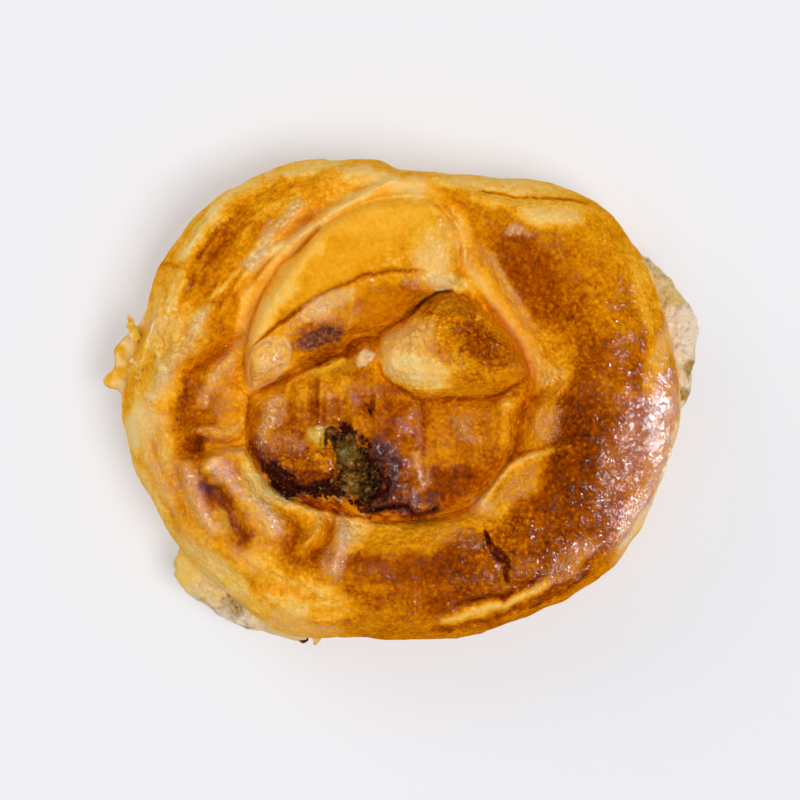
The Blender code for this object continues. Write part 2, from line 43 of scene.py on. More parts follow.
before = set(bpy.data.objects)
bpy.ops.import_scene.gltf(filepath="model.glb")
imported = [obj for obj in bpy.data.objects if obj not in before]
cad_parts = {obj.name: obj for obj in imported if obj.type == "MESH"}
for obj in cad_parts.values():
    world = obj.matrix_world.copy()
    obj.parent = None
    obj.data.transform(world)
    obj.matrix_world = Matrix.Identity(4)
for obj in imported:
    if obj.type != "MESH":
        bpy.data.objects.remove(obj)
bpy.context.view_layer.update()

# The nodes that the pieces stand for
DOUGH_NODE = "pastry_coil"
FILLING_NODE = "potato_filling"

# ---------------------------------------------------------------- the form, as in the solids

# The point that the rays of the grids start from
HUB = (-2.0, 4.5)
CREASE_FLOOR = 24.5
CREASE_WIDTH = 1.3
BASE_INSET = 7.0

# The widest outline of the dough, clockwise from the tail's end
RIM = [
    (-22, 52.5), (-13.5, 52.5), (-5, 52.5), (0, 50.5), (9, 50), (20, 48.5), (31.5, 48),
    (43.5, 42.5), (53, 31.5), (57, 21.5), (60, 10.5), (61.5, 0), (60, -9), (54.5, -24.5),
    (44.5, -38), (28.5, -47), (16.5, -51), (4, -52), (-11, -52), (-22.5, -51.5),
    (-33, -46.5), (-47.5, -33.5), (-55, -20.5), (-59, -12), (-61, -1.5), (-60, 6),
    (-58, 13), (-56, 19), (-52, 29.5), (-43.5, 41.5), (-34.5, 47.5),
]

# The crease between the outer turn and what lies inside it, clockwise from the left
CREASE = [
    (-33, 1.5), (-34, 7.5), (-33.5, 14), (-30.5, 22), (-24, 30.5), (-17, 38.5), (-8, 43),
    (0, 44.5), (6.5, 44), (11, 40), (13, 31.5), (13, 24.5), (17, 21.5), (24, 14.5),
    (28.5, 7.5), (29, 1.5), (26, -4.5), (25, -10.5), (22, -15.5), (16, -22.5), (7.5, -25.5),
    (-5, -26.5), (-17.5, -23.5), (-28, -18.5), (-33, -9),
]

# The outer turn by angle: angle, crown and rim heights as shares of the ring's, crease height,
# how far out from the crease the crown lies, and how round its inner side is
TURN = [
    (-165, 0.85, 0.85, 23.0, 0.48, 1.7),
    (-145, 0.92, 0.92, 22.5, 0.46, 1.8),
    (-120, 0.97, 1.00, 23.5, 0.42, 1.8),
    (-90, 1.00, 1.00, 24.0, 0.40, 1.8),
    (-60, 1.00, 1.00, 23.5, 0.40, 1.8),
    (-30, 1.00, 1.00, 23.5, 0.42, 1.6),
    (0, 1.00, 1.00, 24.0, 0.46, 1.3),
    (30, 0.985, 1.00, 26.0, 0.50, 1.15),
    (55, 0.955, 1.00, 29.0, 0.48, 1.3),
    (72, 0.91, 1.00, 31.0, 0.42, 1.6),
    (88, 0.87, 0.96, 31.0, 0.40, 1.7),
    (100, 0.80, 0.85, 29.5, 0.42, 1.7),
    (125, 0.80, 0.81, 28.5, 0.42, 1.7),
    (150, 0.81, 0.81, 27.0, 0.45, 1.7),
    (175, 0.81, 0.77, 25.0, 0.46, 1.7),
]

# The lobes inside the crease
BAND = [
    (-33.5, 1), (-35, 7.5), (-34.5, 14.5), (-31.5, 22.5), (-25, 31.5), (-17.5, 39.5), (-8, 44),
    (0, 45.5), (7, 45), (12, 40.5), (14, 31.5), (14, 24), (8, 23), (3, 19), (-3, 14),
    (-10, 12), (-10.5, 9), (-19, 6.5), (-28, 3),
]
NUGGET = [
    (-6, 7.5), (-5.5, 12.5), (-2, 16), (2, 18.5), (5.5, 22), (8.5, 23.5), (13, 24), (18, 22),
    (23, 17.5), (27, 13), (29.5, 8.5), (28.5, 5), (24, 2), (20, 0.5), (11, 0), (4.5, -0.5),
    (0, 1.5), (-3.5, 4),
]
LEFT_LUMP = [
    (-33.5, 0.5), (-28, 3.5), (-21, 6.5), (-14, 10.5), (-8, 14), (-2, 12), (-1, 5), (5.5, 0),
    (7.5, -9), (8.5, -17.5), (8, -26), (2, -27.5), (-5, -27.5), (-18, -24.5), (-29, -19.5),
    (-34, -9),
]
RIGHT_LUMP = [
    (4.5, 1), (11, 1.5), (20, 2), (24.5, 5), (30, 3.5), (27, -4.5), (26, -10.5), (23, -16),
    (16.5, -23.5), (7.5, -26.5), (3, -22), (1, -13.5), (2, -5.5),
]

# The width of each lobe's shoulder, and its outline
LOBES = [(5.5, BAND), (9.5, NUGGET), (10.0, LEFT_LUMP), (9.0, RIGHT_LUMP)]
LOBE_ROUNDNESS = 1.8

# The band's fold line. Past it the band slopes down to the lumps
BAND_FOLD = [
    (-36, 6), (-32.5, 11), (-30, 14.5), (-26.5, 16.5), (-22, 20), (-17.5, 22.5), (-13.5, 24.5),
    (-9, 26), (-4.5, 27.5), (0, 28), (6, 28), (16, 27),
]
BAND_SLOPE = 0.45

# Ridges (above 0) and grooves (below 0) in millimetres: height, half width, points
FOLDS = [
    # the folds on the ring's inner edge
    (-1.6, 1.1, [(28, 0), (31.5, 2), (35.5, 4)]),
    (-1.8, 1.0, [(25, -12), (29.5, -11), (33.5, -9.5), (37.5, -8.5)]),
    (-1.5, 1.0, [(15.5, -23), (18.5, -24.5), (21.5, -27), (24.5, -29)]),
    # the groove under the top rim
    (-1.0, 0.9, [(17, 45.5), (24, 44.5), (32.5, 44), (41.5, 43)]),
    # the crease and ridge where the tail runs into the ring
    (-3.2, 1.8, [(-33.5, 14.5), (-37.5, 12), (-41.5, 9.5), (-46, 8), (-50.5, 4.5)]),
    (1.6, 2.0, [(-35, 18.5), (-39.5, 14.5), (-44, 12), (-49, 8), (-53.5, 3), (-57, -1.5)]),
    # folds that fan out from the left end of the lumps
    (1.2, 1.6, [(-33, -5.5), (-37, -7.5), (-41.5, -7.5), (-46.5, -7)]),
    (-1.6, 1.3, [(-33, -8.5), (-37, -10.5), (-42, -10.5), (-47, -10)]),
    (1.3, 1.8, [(-33, -11.5), (-37.5, -13.5), (-41.5, -17), (-44, -22)]),
    # wrinkles across the ring at the lower left
    (0.9, 1.0, [(-17, -24), (-17.5, -27.5), (-20.5, -31)]),
    (-1.1, 1.4, [(-14.5, -25), (-16, -30), (-19, -34)]),
    (0.8, 1.2, [(-11, -26.5), (-13.5, -30), (-14.5, -36)]),
    # long pleats on the side of the ring at the lower left
    (-0.8, 1.0, [(-53, -21), (-47, -29.5), (-39, -37), (-31, -42)]),
    # pleats along the tail
    (-0.9, 0.9, [(-45, 20), (-36, 28.5), (-26, 36), (-16, 42.5)]),
    (-0.8, 0.9, [(-52, 14), (-46, 24), (-38, 35), (-27, 43)]),
    (0.8, 1.1, [(-40, 23.5), (-31, 30.5), (-22, 37)]),
    # ridges down the right lump, and the crease between the lumps
    (1.2, 1.6, [(11.5, -2.5), (14, -6), (16, -10.5), (15, -15)]),
    (-1.3, 1.2, [(9, -4), (11.5, -9), (13.5, -14)]),
    (-1.2, 1.3, [(5.5, -1), (6, -6), (7, -11)]),
    (-0.9, 1.2, [(15.5, -0.5), (18, -6), (20, -11)]),
    # ridges down the left lump
    (0.8, 1.1, [(-22.5, 5), (-22.5, 0), (-22, -5)]),
    (-0.7, 1.0, [(-19, 5.5), (-18.5, 0), (-18, -4)]),
    (-0.9, 1.0, [(-7, 1), (-6.5, -2.5)]),
    # the lip of dough in front of the burst
    (1.3, 0.9, [(-19, -22.5), (-13.5, -24), (-8, -26), (-2, -26.2), (1.5, -25.5)]),
]

# Steps, each with the higher side on the left of the line: height, reach, points
STEPS = [
    # the lip low on the ring at the lower right
    (0.9, 1.6, [(6.5, -47), (17.5, -46), (28.5, -44), (37, -40.5), (43.5, -35), (47, -31)]),
    # the end of the last turn lying on the tail
    (1.7, 3.5, [(1.5, 50), (-4, 47), (-10.5, 43.5), (-16.5, 40.5), (-22, 36), (-27.5, 31),
                (-32, 25.5)]),
]

# Round dents and swellings: height, radius, place
SPOTS = [
    (-1.8, 2.6, (-48, -4.5)),
    (-1.4, 2.4, (-44.5, -10.5)),
    (-1.5, 2.2, (-44, 2.5)),
    (-2.5, 2.2, (-6.5, -1.5)),
    (0.9, 4.2, (-28, 9)),
    (-4.0, 6.0, (12, 30.5)),
    (-2.0, 5.0, (12, -18)),
    (1.2, 5.0, (33, 40)),
    (-1.2, 4.0, (-51, 29)),
]

# Patches on the leaks: tone, greenness and crispness, place in pixels, and radius
RIGHT_PATCHES = [
    (0.80, -0.2, 0.45, (657, 286), 6.0), (0.86, -0.2, 0.2, (666, 350), 5.0),
    (1.02, -0.4, 0.0, (687, 322), 4.4), (1.00, -0.4, 0.0, (684, 345), 3.4),
    (0.85, 0.0, 0.7, (680, 296), 1.8), (0.46, 0.0, 0.25, (691, 367), 1.5),
    (0.46, 0.0, 0.25, (685, 394), 1.5), (0.36, 0.8, 0.0, (648, 268), 0.8),
    (1.1, -0.3, 0.1, (680, 378), 1.6), (1.1, -0.3, 0.1, (679, 410), 1.8),
]
LOWER_LEFT_PATCHES = [
    (1.05, 0.05, 0.95, (188, 566), 6.0), (0.95, 0.10, 0.55, (210, 588), 4.0),
    (0.84, 0.45, 0.1, (236, 604), 2.6), (1.0, -0.1, 0.3, (262, 618), 2.5),
    (0.95, 0.0, 0.7, (285, 630), 5.0), (0.40, 0.2, 0.1, (230, 594), 0.35),
    (0.36, 0.2, 0.1, (233, 600), 0.35), (0.40, 0.2, 0.1, (237, 607), 0.35),
    (0.70, 0.1, 0.6, (204, 599), 0.8),
]

# Leaks of filling through the dough's side: height of the middle, thickness, outline, tone,
# greenness and patches
LOWER_LEFT_LEAK = (8.0, 13.0, [
    (-48, -31.5), (-49.5, -37.5), (-47, -42), (-43, -45), (-38, -48.5), (-31, -50.5),
    (-25, -52.2), (-20, -52.6), (-24, -47), (-31, -40), (-38, -32),
], 0.88, -0.1, LOWER_LEFT_PATCHES)
RIGHT_LEAK = (7.5, 9.5, [
    (52.5, 31), (57.5, 28.5), (62, 23), (65, 17.5), (65, 10.5), (63.5, 2), (61.5, -2),
    (58.5, 1), (57.5, 8), (51, 12), (50, 17), (54.5, 21), (53.5, 26),
], 0.80, -0.2, RIGHT_PATCHES)

# The middle of the rope of filling, from the tail's end inwards, how high it lies, and its
# radius by the share of the way along
FILLING_PATH = [
    (-15.5, 43), (-33, 34), (-43.5, 19.5), (-48, 2), (-45.5, -13.5), (-35, -28), (-17.5, -38),
    (4, -39.5), (25, -34.5), (41, -22), (46, -4.5), (43, 15), (32.5, 30), (17.5, 36.5),
    (2, 34.5), (-14, 27), (-24.5, 15), (-25, 3), (-21.5, -9), (-5, -14), (12, -12),
    (20, -2), (15, 9.5), (3, 9.5),
]
FILLING_HEIGHT = 12.5
FILLING_RADII = [(0, 4), (0.05, 5.5), (0.14, 8.5), (0.5, 8.5), (0.62, 6.5), (0.75, 6.5), (1, 5)]

# ---------------------------------------------------------------- places read from the photo

# Real size of one pixel, and the pixel over the origin
PIXEL = 0.2188
PHOTO_CENTRE = (400.75, 399.0)

# How baked the outer turn is by angle: angle, then at the crease, the crown, the shoulder and
# the rim, on a scale from 0, raw, to 1, burnt
BAKED_TURN = [
    (-165, 0.50, 0.60, 0.36, 0.22),
    (-145, 0.48, 0.60, 0.42, 0.25),
    (-120, 0.46, 0.62, 0.42, 0.24),
    (-90, 0.48, 0.76, 0.66, 0.64),
    (-60, 0.48, 0.82, 0.74, 0.68),
    (-30, 0.50, 0.84, 0.86, 0.55),
    (0, 0.50, 0.86, 0.84, 0.56),
    (30, 0.46, 0.74, 0.60, 0.44),
    (55, 0.50, 0.66, 0.48, 0.26),
    (72, 0.44, 0.58, 0.42, 0.20),
    (88, 0.36, 0.42, 0.36, 0.24),
    (100, 0.28, 0.36, 0.36, 0.32),
    (125, 0.28, 0.48, 0.44, 0.36),
    (150, 0.34, 0.52, 0.44, 0.34),
    (175, 0.50, 0.50, 0.34, 0.24),
]

# The same for the floor of the creases, the band, the inner end, the left lump and the right
LOBE_BAKE = (0.55, 0.42, 0.56, 0.68, 0.62)

# What is painted on the crust: how baked, how charred, how floury, how bloomed with fine
# blisters and glossed with painted sheen, how buttery, how rough, how thickly egg-washed and how
# streaked along the rope it is
FIELDS = ("bake", "char", "pale", "film", "butter", "rough", "glaze", "strand")

# Their levels before anything is painted, where they aren't 0
START = {"rough": 0.5, "glaze": 0.3}

# Blotches on the crust, in pixels of the photo: level and cover in percent, middle, half length
# and half width, and turn from the image's right
BLOTCHES = {"bake": {
    "tail under the streaks": (68, 95, 218, 256, 46, 16, 52),
    "tail's dark patch": (66, 80, 238, 217, 14, 8, 55),
    "tail's middle": (46, 80, 296, 200, 44, 14, 30),
    "tail beside the flap": (42, 70, 332, 196, 30, 8, 27),
    "tail's top glaze": (14, 90, 300, 166, 44, 10, 14),
    "tail's end": (17, 90, 370, 177, 30, 10, -12),
    "tail's yellow side": (30, 90, 200, 236, 30, 8, 52),
    "tail's left edge": (44, 80, 168, 262, 14, 16, 60),
    "tail's foot": (42, 85, 168, 292, 22, 20, 60),
    "flaky layers": (35, 85, 158, 340, 36, 24, 60),
    "gap beside the band": (30, 90, 268, 268, 44, 9, 52),
    "behind the strand": (46, 80, 226, 358, 22, 12, 35),
    "knuckles": (78, 85, 200, 406, 24, 30, 0),
    "red hollow": (86, 90, 194, 448, 13, 12, 80),
    "cream patch": (10, 90, 140, 426, 20, 15, 70),
    "left edge": (20, 80, 150, 490, 45, 9, -60),
    "outer pleats": (54, 70, 172, 482, 40, 12, -62),
    "trough": (64, 90, 225, 503, 30, 8, -58),
    "trough's window": (32, 70, 226, 517, 14, 6, -60),
    "inner slope at the left": (28, 85, 276, 500, 32, 12, -42),
    "orange pocket": (68, 85, 290, 530, 24, 13, -50),
    "flank at the bottom left": (70, 85, 335, 560, 62, 11, -8),
    "orange flank": (54, 80, 266, 548, 26, 9, -35),
    "yellow lower side": (28, 90, 300, 592, 56, 18, -12),
    "orange patch on it": (47, 90, 258, 589, 10, 9, 0),
    "bottom": (62, 85, 420, 612, 70, 18, 6),
    "flank at the bottom": (84, 85, 404, 564, 66, 14, 0),
    "left of the split": (86, 85, 462, 554, 28, 24, 10),
    "inner slope at the bottom": (50, 80, 410, 532, 42, 9, 0),
    "right of the split": (78, 80, 548, 534, 40, 24, 45),
    "lower lip": (62, 80, 540, 612, 60, 8, 25),
    "right flank": (90, 88, 572, 452, 84, 26, 82),
    "right crown": (62, 70, 602, 306, 58, 26, -62),
    "top crown": (84, 85, 524, 262, 40, 18, -48),
    "crown's inner side": (82, 85, 532, 288, 52, 18, -56),
    "top right": (52, 80, 606, 246, 44, 16, -45),
    "top left of the ring": (60, 80, 470, 210, 22, 9, -20),
    "strip on the rim": (16, 90, 500, 184, 70, 10, -4),
    "bare spot": (14, 85, 551, 217, 33, 12, -5),
    "right rim": (40, 90, 656, 356, 42, 13, 80),
    "lower right rim": (62, 85, 640, 490, 38, 13, 66),
    "under the first fold": (48, 80, 540, 420, 14, 26, 0),
    "under the second fold": (48, 80, 520, 482, 26, 15, 45),
    "band's outer side": (20, 95, 308, 244, 62, 14, 48),
    "band's yellow end": (16, 95, 264, 318, 36, 12, 68),
    "band's middle": (30, 90, 372, 216, 60, 20, 8),
    "band's pale end": (22, 95, 432, 256, 28, 22, 90),
    "facet": (64, 90, 378, 302, 30, 18, 20),
    "facet's foot": (66, 80, 372, 325, 22, 8, 20),
    "froth under the fold": (25, 70, 330, 303, 24, 9, 25),
    "burn on the band": (80, 90, 322, 334, 32, 16, 16),
    "band's lower right": (64, 90, 407, 295, 18, 14, 30),
    "blister": (24, 90, 272, 362, 23, 15, 50),
    "inner end's top": (72, 85, 446, 306, 34, 12, -5),
    "inner end's dark side": (80, 90, 486, 344, 34, 17, -32),
    "inner end's left": (30, 90, 404, 336, 26, 18, 30),
    "inner end's pale side": (8, 90, 418, 370, 38, 18, -12),
    "inner end's orange side": (56, 80, 486, 376, 34, 13, 0),
    "left lump's top": (70, 85, 366, 410, 36, 12, 8),
    "left lump's lip": (45, 70, 322, 367, 28, 6, 20),
    "left lump's right side": (76, 85, 402, 436, 34, 16, 90),
    "right lump's left side": (60, 80, 446, 430, 30, 14, 90),
    "right lump's top": (42, 70, 510, 402, 14, 9, 0),
    "flap's end": (14, 85, 404, 190, 26, 9, -8),
    "foot of the gap": (20, 90, 243, 330, 32, 8, 76),
    "band's inner side": (38, 80, 344, 262, 42, 11, 22),
    "right rim at the top": (32, 85, 646, 296, 50, 12, -72),
    "right of the burst": (95, 90, 386, 468, 36, 18, -76),
    "skin over the burst": (72, 80, 290, 434, 26, 14, -20),
    "orange flap": (54, 90, 308, 463, 9, 5, -20),
    "bit below the burst": (50, 85, 390, 514, 14, 3, 0),
    "left lump's lower skin": (80, 80, 292, 452, 24, 10, -10),
    "slope under the strip": (26, 80, 526, 203, 56, 8, -6),
    "first fold's bright side": (22, 85, 556, 378, 17, 14, 40),
    "under the outer ridge": (80, 85, 198, 478, 30, 13, -65),
    "slope by the second ridge": (22, 85, 350, 532, 16, 16, 0),
    "left lump's upper edge": (48, 85, 310, 388, 50, 12, 4),
    "dark under the flap": (94, 90, 316, 478, 30, 14, -8),
    "violet side of the lump": (88, 85, 266, 450, 16, 10, -60),
    "bottom of the right lump": (90, 85, 440, 482, 48, 17, 8),
    "right lump's right side": (72, 80, 492, 446, 16, 22, 0),
    "below the second fold": (82, 85, 530, 506, 26, 14, 42),
    "above the lip": (82, 85, 462, 595, 52, 11, 8),
    "around the split": (80, 80, 512, 538, 42, 18, 20),
    "lower right shoulder": (66, 80, 570, 566, 40, 13, 42),
    "tail's inner side": (72, 85, 224, 290, 30, 16, 60),
    "left lump's left edge": (40, 80, 258, 396, 10, 12, 0),
    "under the burst": (92, 90, 368, 506, 34, 8, 5),
    "over the lower left leak": (14, 85, 222, 572, 44, 13, -40),
    "lip over the knuckles": (34, 80, 250, 470, 22, 8, -60),
    "golden valley": (42, 85, 154, 372, 20, 7, 75),
    "second golden valley": (40, 80, 170, 345, 10, 5, 60),
    "orange blobs on the right": (52, 85, 660, 318, 14, 9, -60),
    "lower orange blob": (54, 85, 664, 384, 12, 9, 70),
    "left of the lumps' foot": (78, 80, 344, 506, 26, 7, -12),
    "inner slope at the lower right": (30, 85, 492, 505, 16, 12, 50),
    "violet crown": (76, 80, 604, 362, 22, 26, 60),
    "under the butter": (5, 100, 451, 284, 17, 9, -15),
    "right of the first fold": (70, 85, 614, 392, 14, 20, 0),
    "right lump's middle": (66, 80, 482, 440, 22, 26, 90),
    "beside the streaks": (64, 85, 252, 238, 24, 9, 52),
    "below the tail's inner side": (64, 85, 224, 316, 24, 12, 65),
    "band's bright side": (17, 85, 286, 292, 26, 10, 52),
    "under the burn": (82, 80, 332, 353, 32, 8, 16),
    "base of the inner ridge": (66, 85, 228, 474, 28, 12, -45),
    "right shoulder": (80, 85, 622, 450, 60, 18, 82),
    "left rim": (42, 85, 132, 392, 22, 7, 80),
    "hollow beside the cream": (30, 85, 166, 388, 20, 14, 60),
    "strip over the bottom": (30, 85, 264, 560, 24, 9, -32),
    "left flank": (34, 70, 160, 458, 50, 12, -70),
    "lip beside the burst": (26, 80, 256, 386, 10, 12, 0),
    "right flap's blob": (58, 90, 661, 328, 9, 7, 60),
    "right flap's lower blob": (66, 90, 668, 378, 10, 6, -60),
    "right flap's upper blob": (55, 90, 651, 296, 9, 4, 60),
}, "char": {
    "burn on the band": (62, 95, 324, 335, 29, 12, 16),
    "burnt edge of the lump": (55, 90, 268, 450, 20, 9, -62),
    "blackest": (95, 100, 285, 478, 26, 13, -44),
    "below the burst": (90, 95, 330, 490, 30, 7, -10),
    "right of the burst": (72, 95, 388, 468, 38, 16, -76),
    "bottom of the lumps": (62, 90, 404, 503, 40, 9, 0),
    "upper hollow": (40, 80, 200, 388, 6, 6, 0),
    "lower hollow": (60, 90, 181, 419, 5, 5, 0),
    "under the right of it": (60, 90, 380, 497, 18, 9, 0),
    "over the potato": (70, 90, 342, 432, 18, 6, -20),
    "right end of the lumps": (50, 85, 430, 500, 16, 9, 20),
# The bloom of fine blisters, with painted sheen: a pinkish tint where the crust shone, strongest on the
# right shoulder, flank and rim
}, "film": {
    "streaks on the tail": (70, 80, 272, 229, 17, 7, 55),
    "lower streak": (60, 80, 252, 259, 15, 5, 50),
    "by the flap": (50, 80, 298, 226, 10, 6, 30),
    "on the strand": (60, 80, 207, 328, 15, 7, 60),
    "behind the strand": (80, 80, 228, 364, 16, 13, 40),
    "left ring": (50, 80, 226, 402, 28, 12, 90),
    "knuckles": (50, 80, 222, 436, 18, 9, 0),
    "outer ridge": (75, 85, 196, 490, 32, 7, -64),
    "inner ridge": (50, 80, 256, 508, 38, 11, -52),
    "bottom left": (80, 80, 338, 555, 22, 12, 75),
    "bottom": (30, 70, 388, 566, 30, 8, 0),
    "left of the split": (55, 80, 458, 535, 26, 12, -10),
    "upper edge of the crown": (45, 80, 492, 262, 24, 7, -56),
    "lower edge of the crown": (60, 80, 524, 314, 24, 9, -52),
    "right flank": (35, 80, 600, 500, 40, 17, 80),
    "right shoulder": (46, 90, 620, 455, 52, 15, 80),
    "right rim": (36, 85, 646, 432, 36, 10, 84),
    "right crown": (42, 70, 592, 388, 24, 18, 60),
    "under the first fold": (70, 80, 550, 425, 22, 14, 70),
    "left lump": (70, 90, 278, 410, 18, 14, 60),
    "right lump's ridge": (70, 85, 464, 424, 22, 10, -70),
    "right lump": (20, 70, 500, 430, 26, 14, 90),
    "beside the burn": (60, 80, 295, 328, 14, 9, 35),
    "inner end": (60, 80, 412, 334, 26, 15, 25),
    "bottom of the lumps": (35, 80, 422, 498, 22, 10, 0),
    "lower right shoulder": (60, 85, 566, 562, 38, 15, 42),
    "left flank": (60, 85, 166, 456, 56, 14, -72),
    "lower left flank": (40, 80, 200, 536, 34, 10, -45),
    "left lump's lower skin": (60, 85, 286, 442, 22, 12, -10),
    "right of the burst": (35, 80, 388, 462, 26, 10, -76),
    "froth on the crown": (75, 90, 516, 232, 14, 8, -15),
    "over the lower left leak": (40, 80, 206, 562, 30, 8, -42),
    "froth under the fold": (80, 90, 328, 304, 28, 12, 25),
    "right rim at the top": (50, 80, 664, 345, 30, 10, 80),
    "inner slope at the lower right": (60, 80, 520, 484, 30, 14, 45),
    "violet crown": (36, 80, 616, 352, 18, 16, 60),
    "slope by the second ridge": (50, 85, 350, 532, 14, 14, 0),
    "first fold's bright side": (40, 85, 558, 376, 15, 12, 40),
    "above the lip": (36, 80, 500, 566, 70, 12, 14),
    "upper lumps": (35, 80, 320, 392, 50, 10, 6),
    "inner end's dark side": (25, 80, 474, 334, 30, 14, -25),
    "edge of the crown": (60, 85, 500, 276, 44, 7, -58),
    "inner side of the burn": (50, 80, 344, 318, 22, 10, 20),
    "by the knuckles": (65, 85, 232, 474, 20, 9, -40),
    "golden shoulder": (45, 80, 162, 416, 26, 10, -60),
    "inner end's lower side": (50, 80, 440, 360, 22, 9, 0),
    "band's lower right": (55, 80, 418, 284, 18, 9, 0),
    "right lump's top": (45, 80, 474, 412, 24, 8, 0),
}, "pale": {
    "cream patch": (45, 90, 146, 424, 24, 16, 70),
    "flaky layers": (28, 80, 178, 335, 24, 18, 55),
    "tail's end": (50, 80, 368, 172, 24, 6, -10),
    "bare spot": (40, 80, 551, 217, 32, 10, -5),
    "froth on the crown": (35, 90, 516, 232, 13, 7, -15),
    "froth under the fold": (55, 90, 330, 300, 26, 10, 25),
    "hole by the inner end": (90, 100, 366, 356, 9, 8, 40),
    "band's pale end": (42, 80, 432, 262, 24, 16, 90),
    # The pale right edges are partly the dough's pale rim and partly a painted highlight
    "right edge": (75, 90, 673, 452, 58, 5, 76),
    "lower right edge": (60, 80, 632, 540, 30, 6, 52),
    "bottom left edge": (40, 80, 305, 624, 42, 9, -10),
    "beside the burst": (40, 90, 320, 430, 7, 9, 0),
    "white bit by the butter": (90, 100, 444, 288, 8, 4, 0),
    "cream tufts": (50, 90, 157, 322, 13, 10, 40),
    "flap's end": (50, 80, 410, 184, 24, 8, -8),
    "yellow corner": (50, 90, 480, 503, 11, 9, 0),
    "inner end's left": (40, 85, 408, 346, 30, 18, 10),
    "inner end's pale side": (30, 85, 420, 368, 30, 12, -14),
    "ring's inner lip": (40, 80, 256, 478, 20, 7, -50),
    "left flank": (35, 85, 158, 470, 50, 9, -66),
    "over the lower left leak": (35, 85, 200, 552, 34, 9, -42),
    "lower left side": (35, 85, 284, 614, 30, 10, 20),
    "strip over the bottom": (30, 85, 248, 556, 24, 8, -36),
    "right flap": (36, 85, 658, 350, 20, 7, 72),
}, "butter": {
    "tail's yellow side": (50, 80, 203, 232, 14, 9, 48),
    "flaky layers": (30, 80, 160, 345, 30, 22, 55),
    "gap beside the band": (40, 70, 262, 272, 26, 7, 50),
    "melted butter": (70, 100, 455, 284, 9, 7, -20),
    "shade at the band's end": (60, 80, 456, 262, 16, 5, 90),
    "lower left side": (40, 80, 232, 572, 24, 12, -45),
    "beside the burst": (80, 90, 320, 434, 9, 12, 0),
    "left lump's lip": (50, 80, 335, 369, 28, 7, 15),
    "trough's window": (50, 80, 226, 517, 14, 6, -60),
    "band's pale end": (35, 80, 430, 240, 24, 24, 90),
    "inner end's top": (30, 80, 446, 304, 34, 11, -5),
    "golden valley": (35, 85, 154, 372, 20, 7, 75),
}, "glaze": {
    "band": (6, 100, 350, 240, 110, 34, 30),
    "band's yellow end": (6, 100, 262, 320, 34, 14, 68),
    "facet": (35, 90, 378, 302, 30, 18, 20),
    "inner end's left": (10, 90, 404, 350, 26, 26, 20),
    "cream slopes": (8, 90, 508, 320, 75, 14, -56),
    "right shoulder": (50, 90, 624, 450, 70, 22, 80),
    "bottom left ridges": (80, 80, 235, 500, 60, 34, -50),
    "lumps": (40, 80, 390, 450, 130, 60, 0),
    "right rim": (150, 95, 662, 430, 54, 14, 84),
    "crown": (22, 90, 590, 290, 90, 50, -60),
    "lower right rim": (120, 90, 636, 512, 44, 12, 58),
    "inner end's dark side": (10, 90, 474, 334, 34, 20, -25),
}, "strand": {
    "tail": (100, 100, 235, 245, 80, 44, 50),
    "flaky layers": (80, 90, 170, 330, 50, 34, 60),
    "left side": (70, 80, 170, 470, 80, 28, -64),
    "bottom side": (70, 80, 320, 590, 90, 26, -8),
    "lip": (50, 80, 520, 600, 90, 20, 25),
    "left lump": (50, 90, 335, 402, 60, 26, 0),
    "froth under the fold": (70, 90, 330, 304, 30, 12, 25),
}, "rough": {
    "band": (8, 100, 350, 240, 110, 34, 30),
    "band's yellow end": (8, 100, 262, 320, 34, 14, 68),
    "facet": (12, 90, 378, 302, 30, 20, 20),
    "cream patch": (15, 90, 142, 428, 20, 16, 70),
    "flaky layers": (80, 90, 170, 340, 40, 30, 55),
    "cream slopes": (20, 90, 508, 320, 75, 14, -56),
    "around the split": (90, 80, 520, 550, 70, 35, 20),
    "right ring": (70, 80, 590, 400, 130, 50, 85),
    "burst": (100, 90, 340, 470, 70, 40, -20),
    "inner end": (100, 90, 458, 334, 52, 34, -20),
}}

# Lines that are both folded and painted, in pixels of the photo
BANDS_FOLD_PATH = (250, 358, 260, 341, 274, 329, 292, 316, 313, 300, 337, 287, 367, 276, 400, 271, 428, 272)
LIPS_STRIP_PATH = (439, 618, 470, 612, 500, 603, 530, 591, 552, 580)
UNDER_THE_LIP_PATH = (430, 626, 481, 620, 520, 607, 552, 591, 590, 562, 613, 535)
LINES_ON_THE_BANDS_END_PATH = (430, 203, 443, 215, 453, 232, 458, 250)
THIN_STRAND_PATH = (157, 348, 164, 370, 162, 384)
BANDS_EDGE_PATH = (322, 227, 302, 249, 284, 263, 270, 282, 259, 308, 250, 336, 247, 362)
SHARD_BELOW_THE_BURST_PATH = (328, 491, 342, 499, 356, 509, 370, 516)
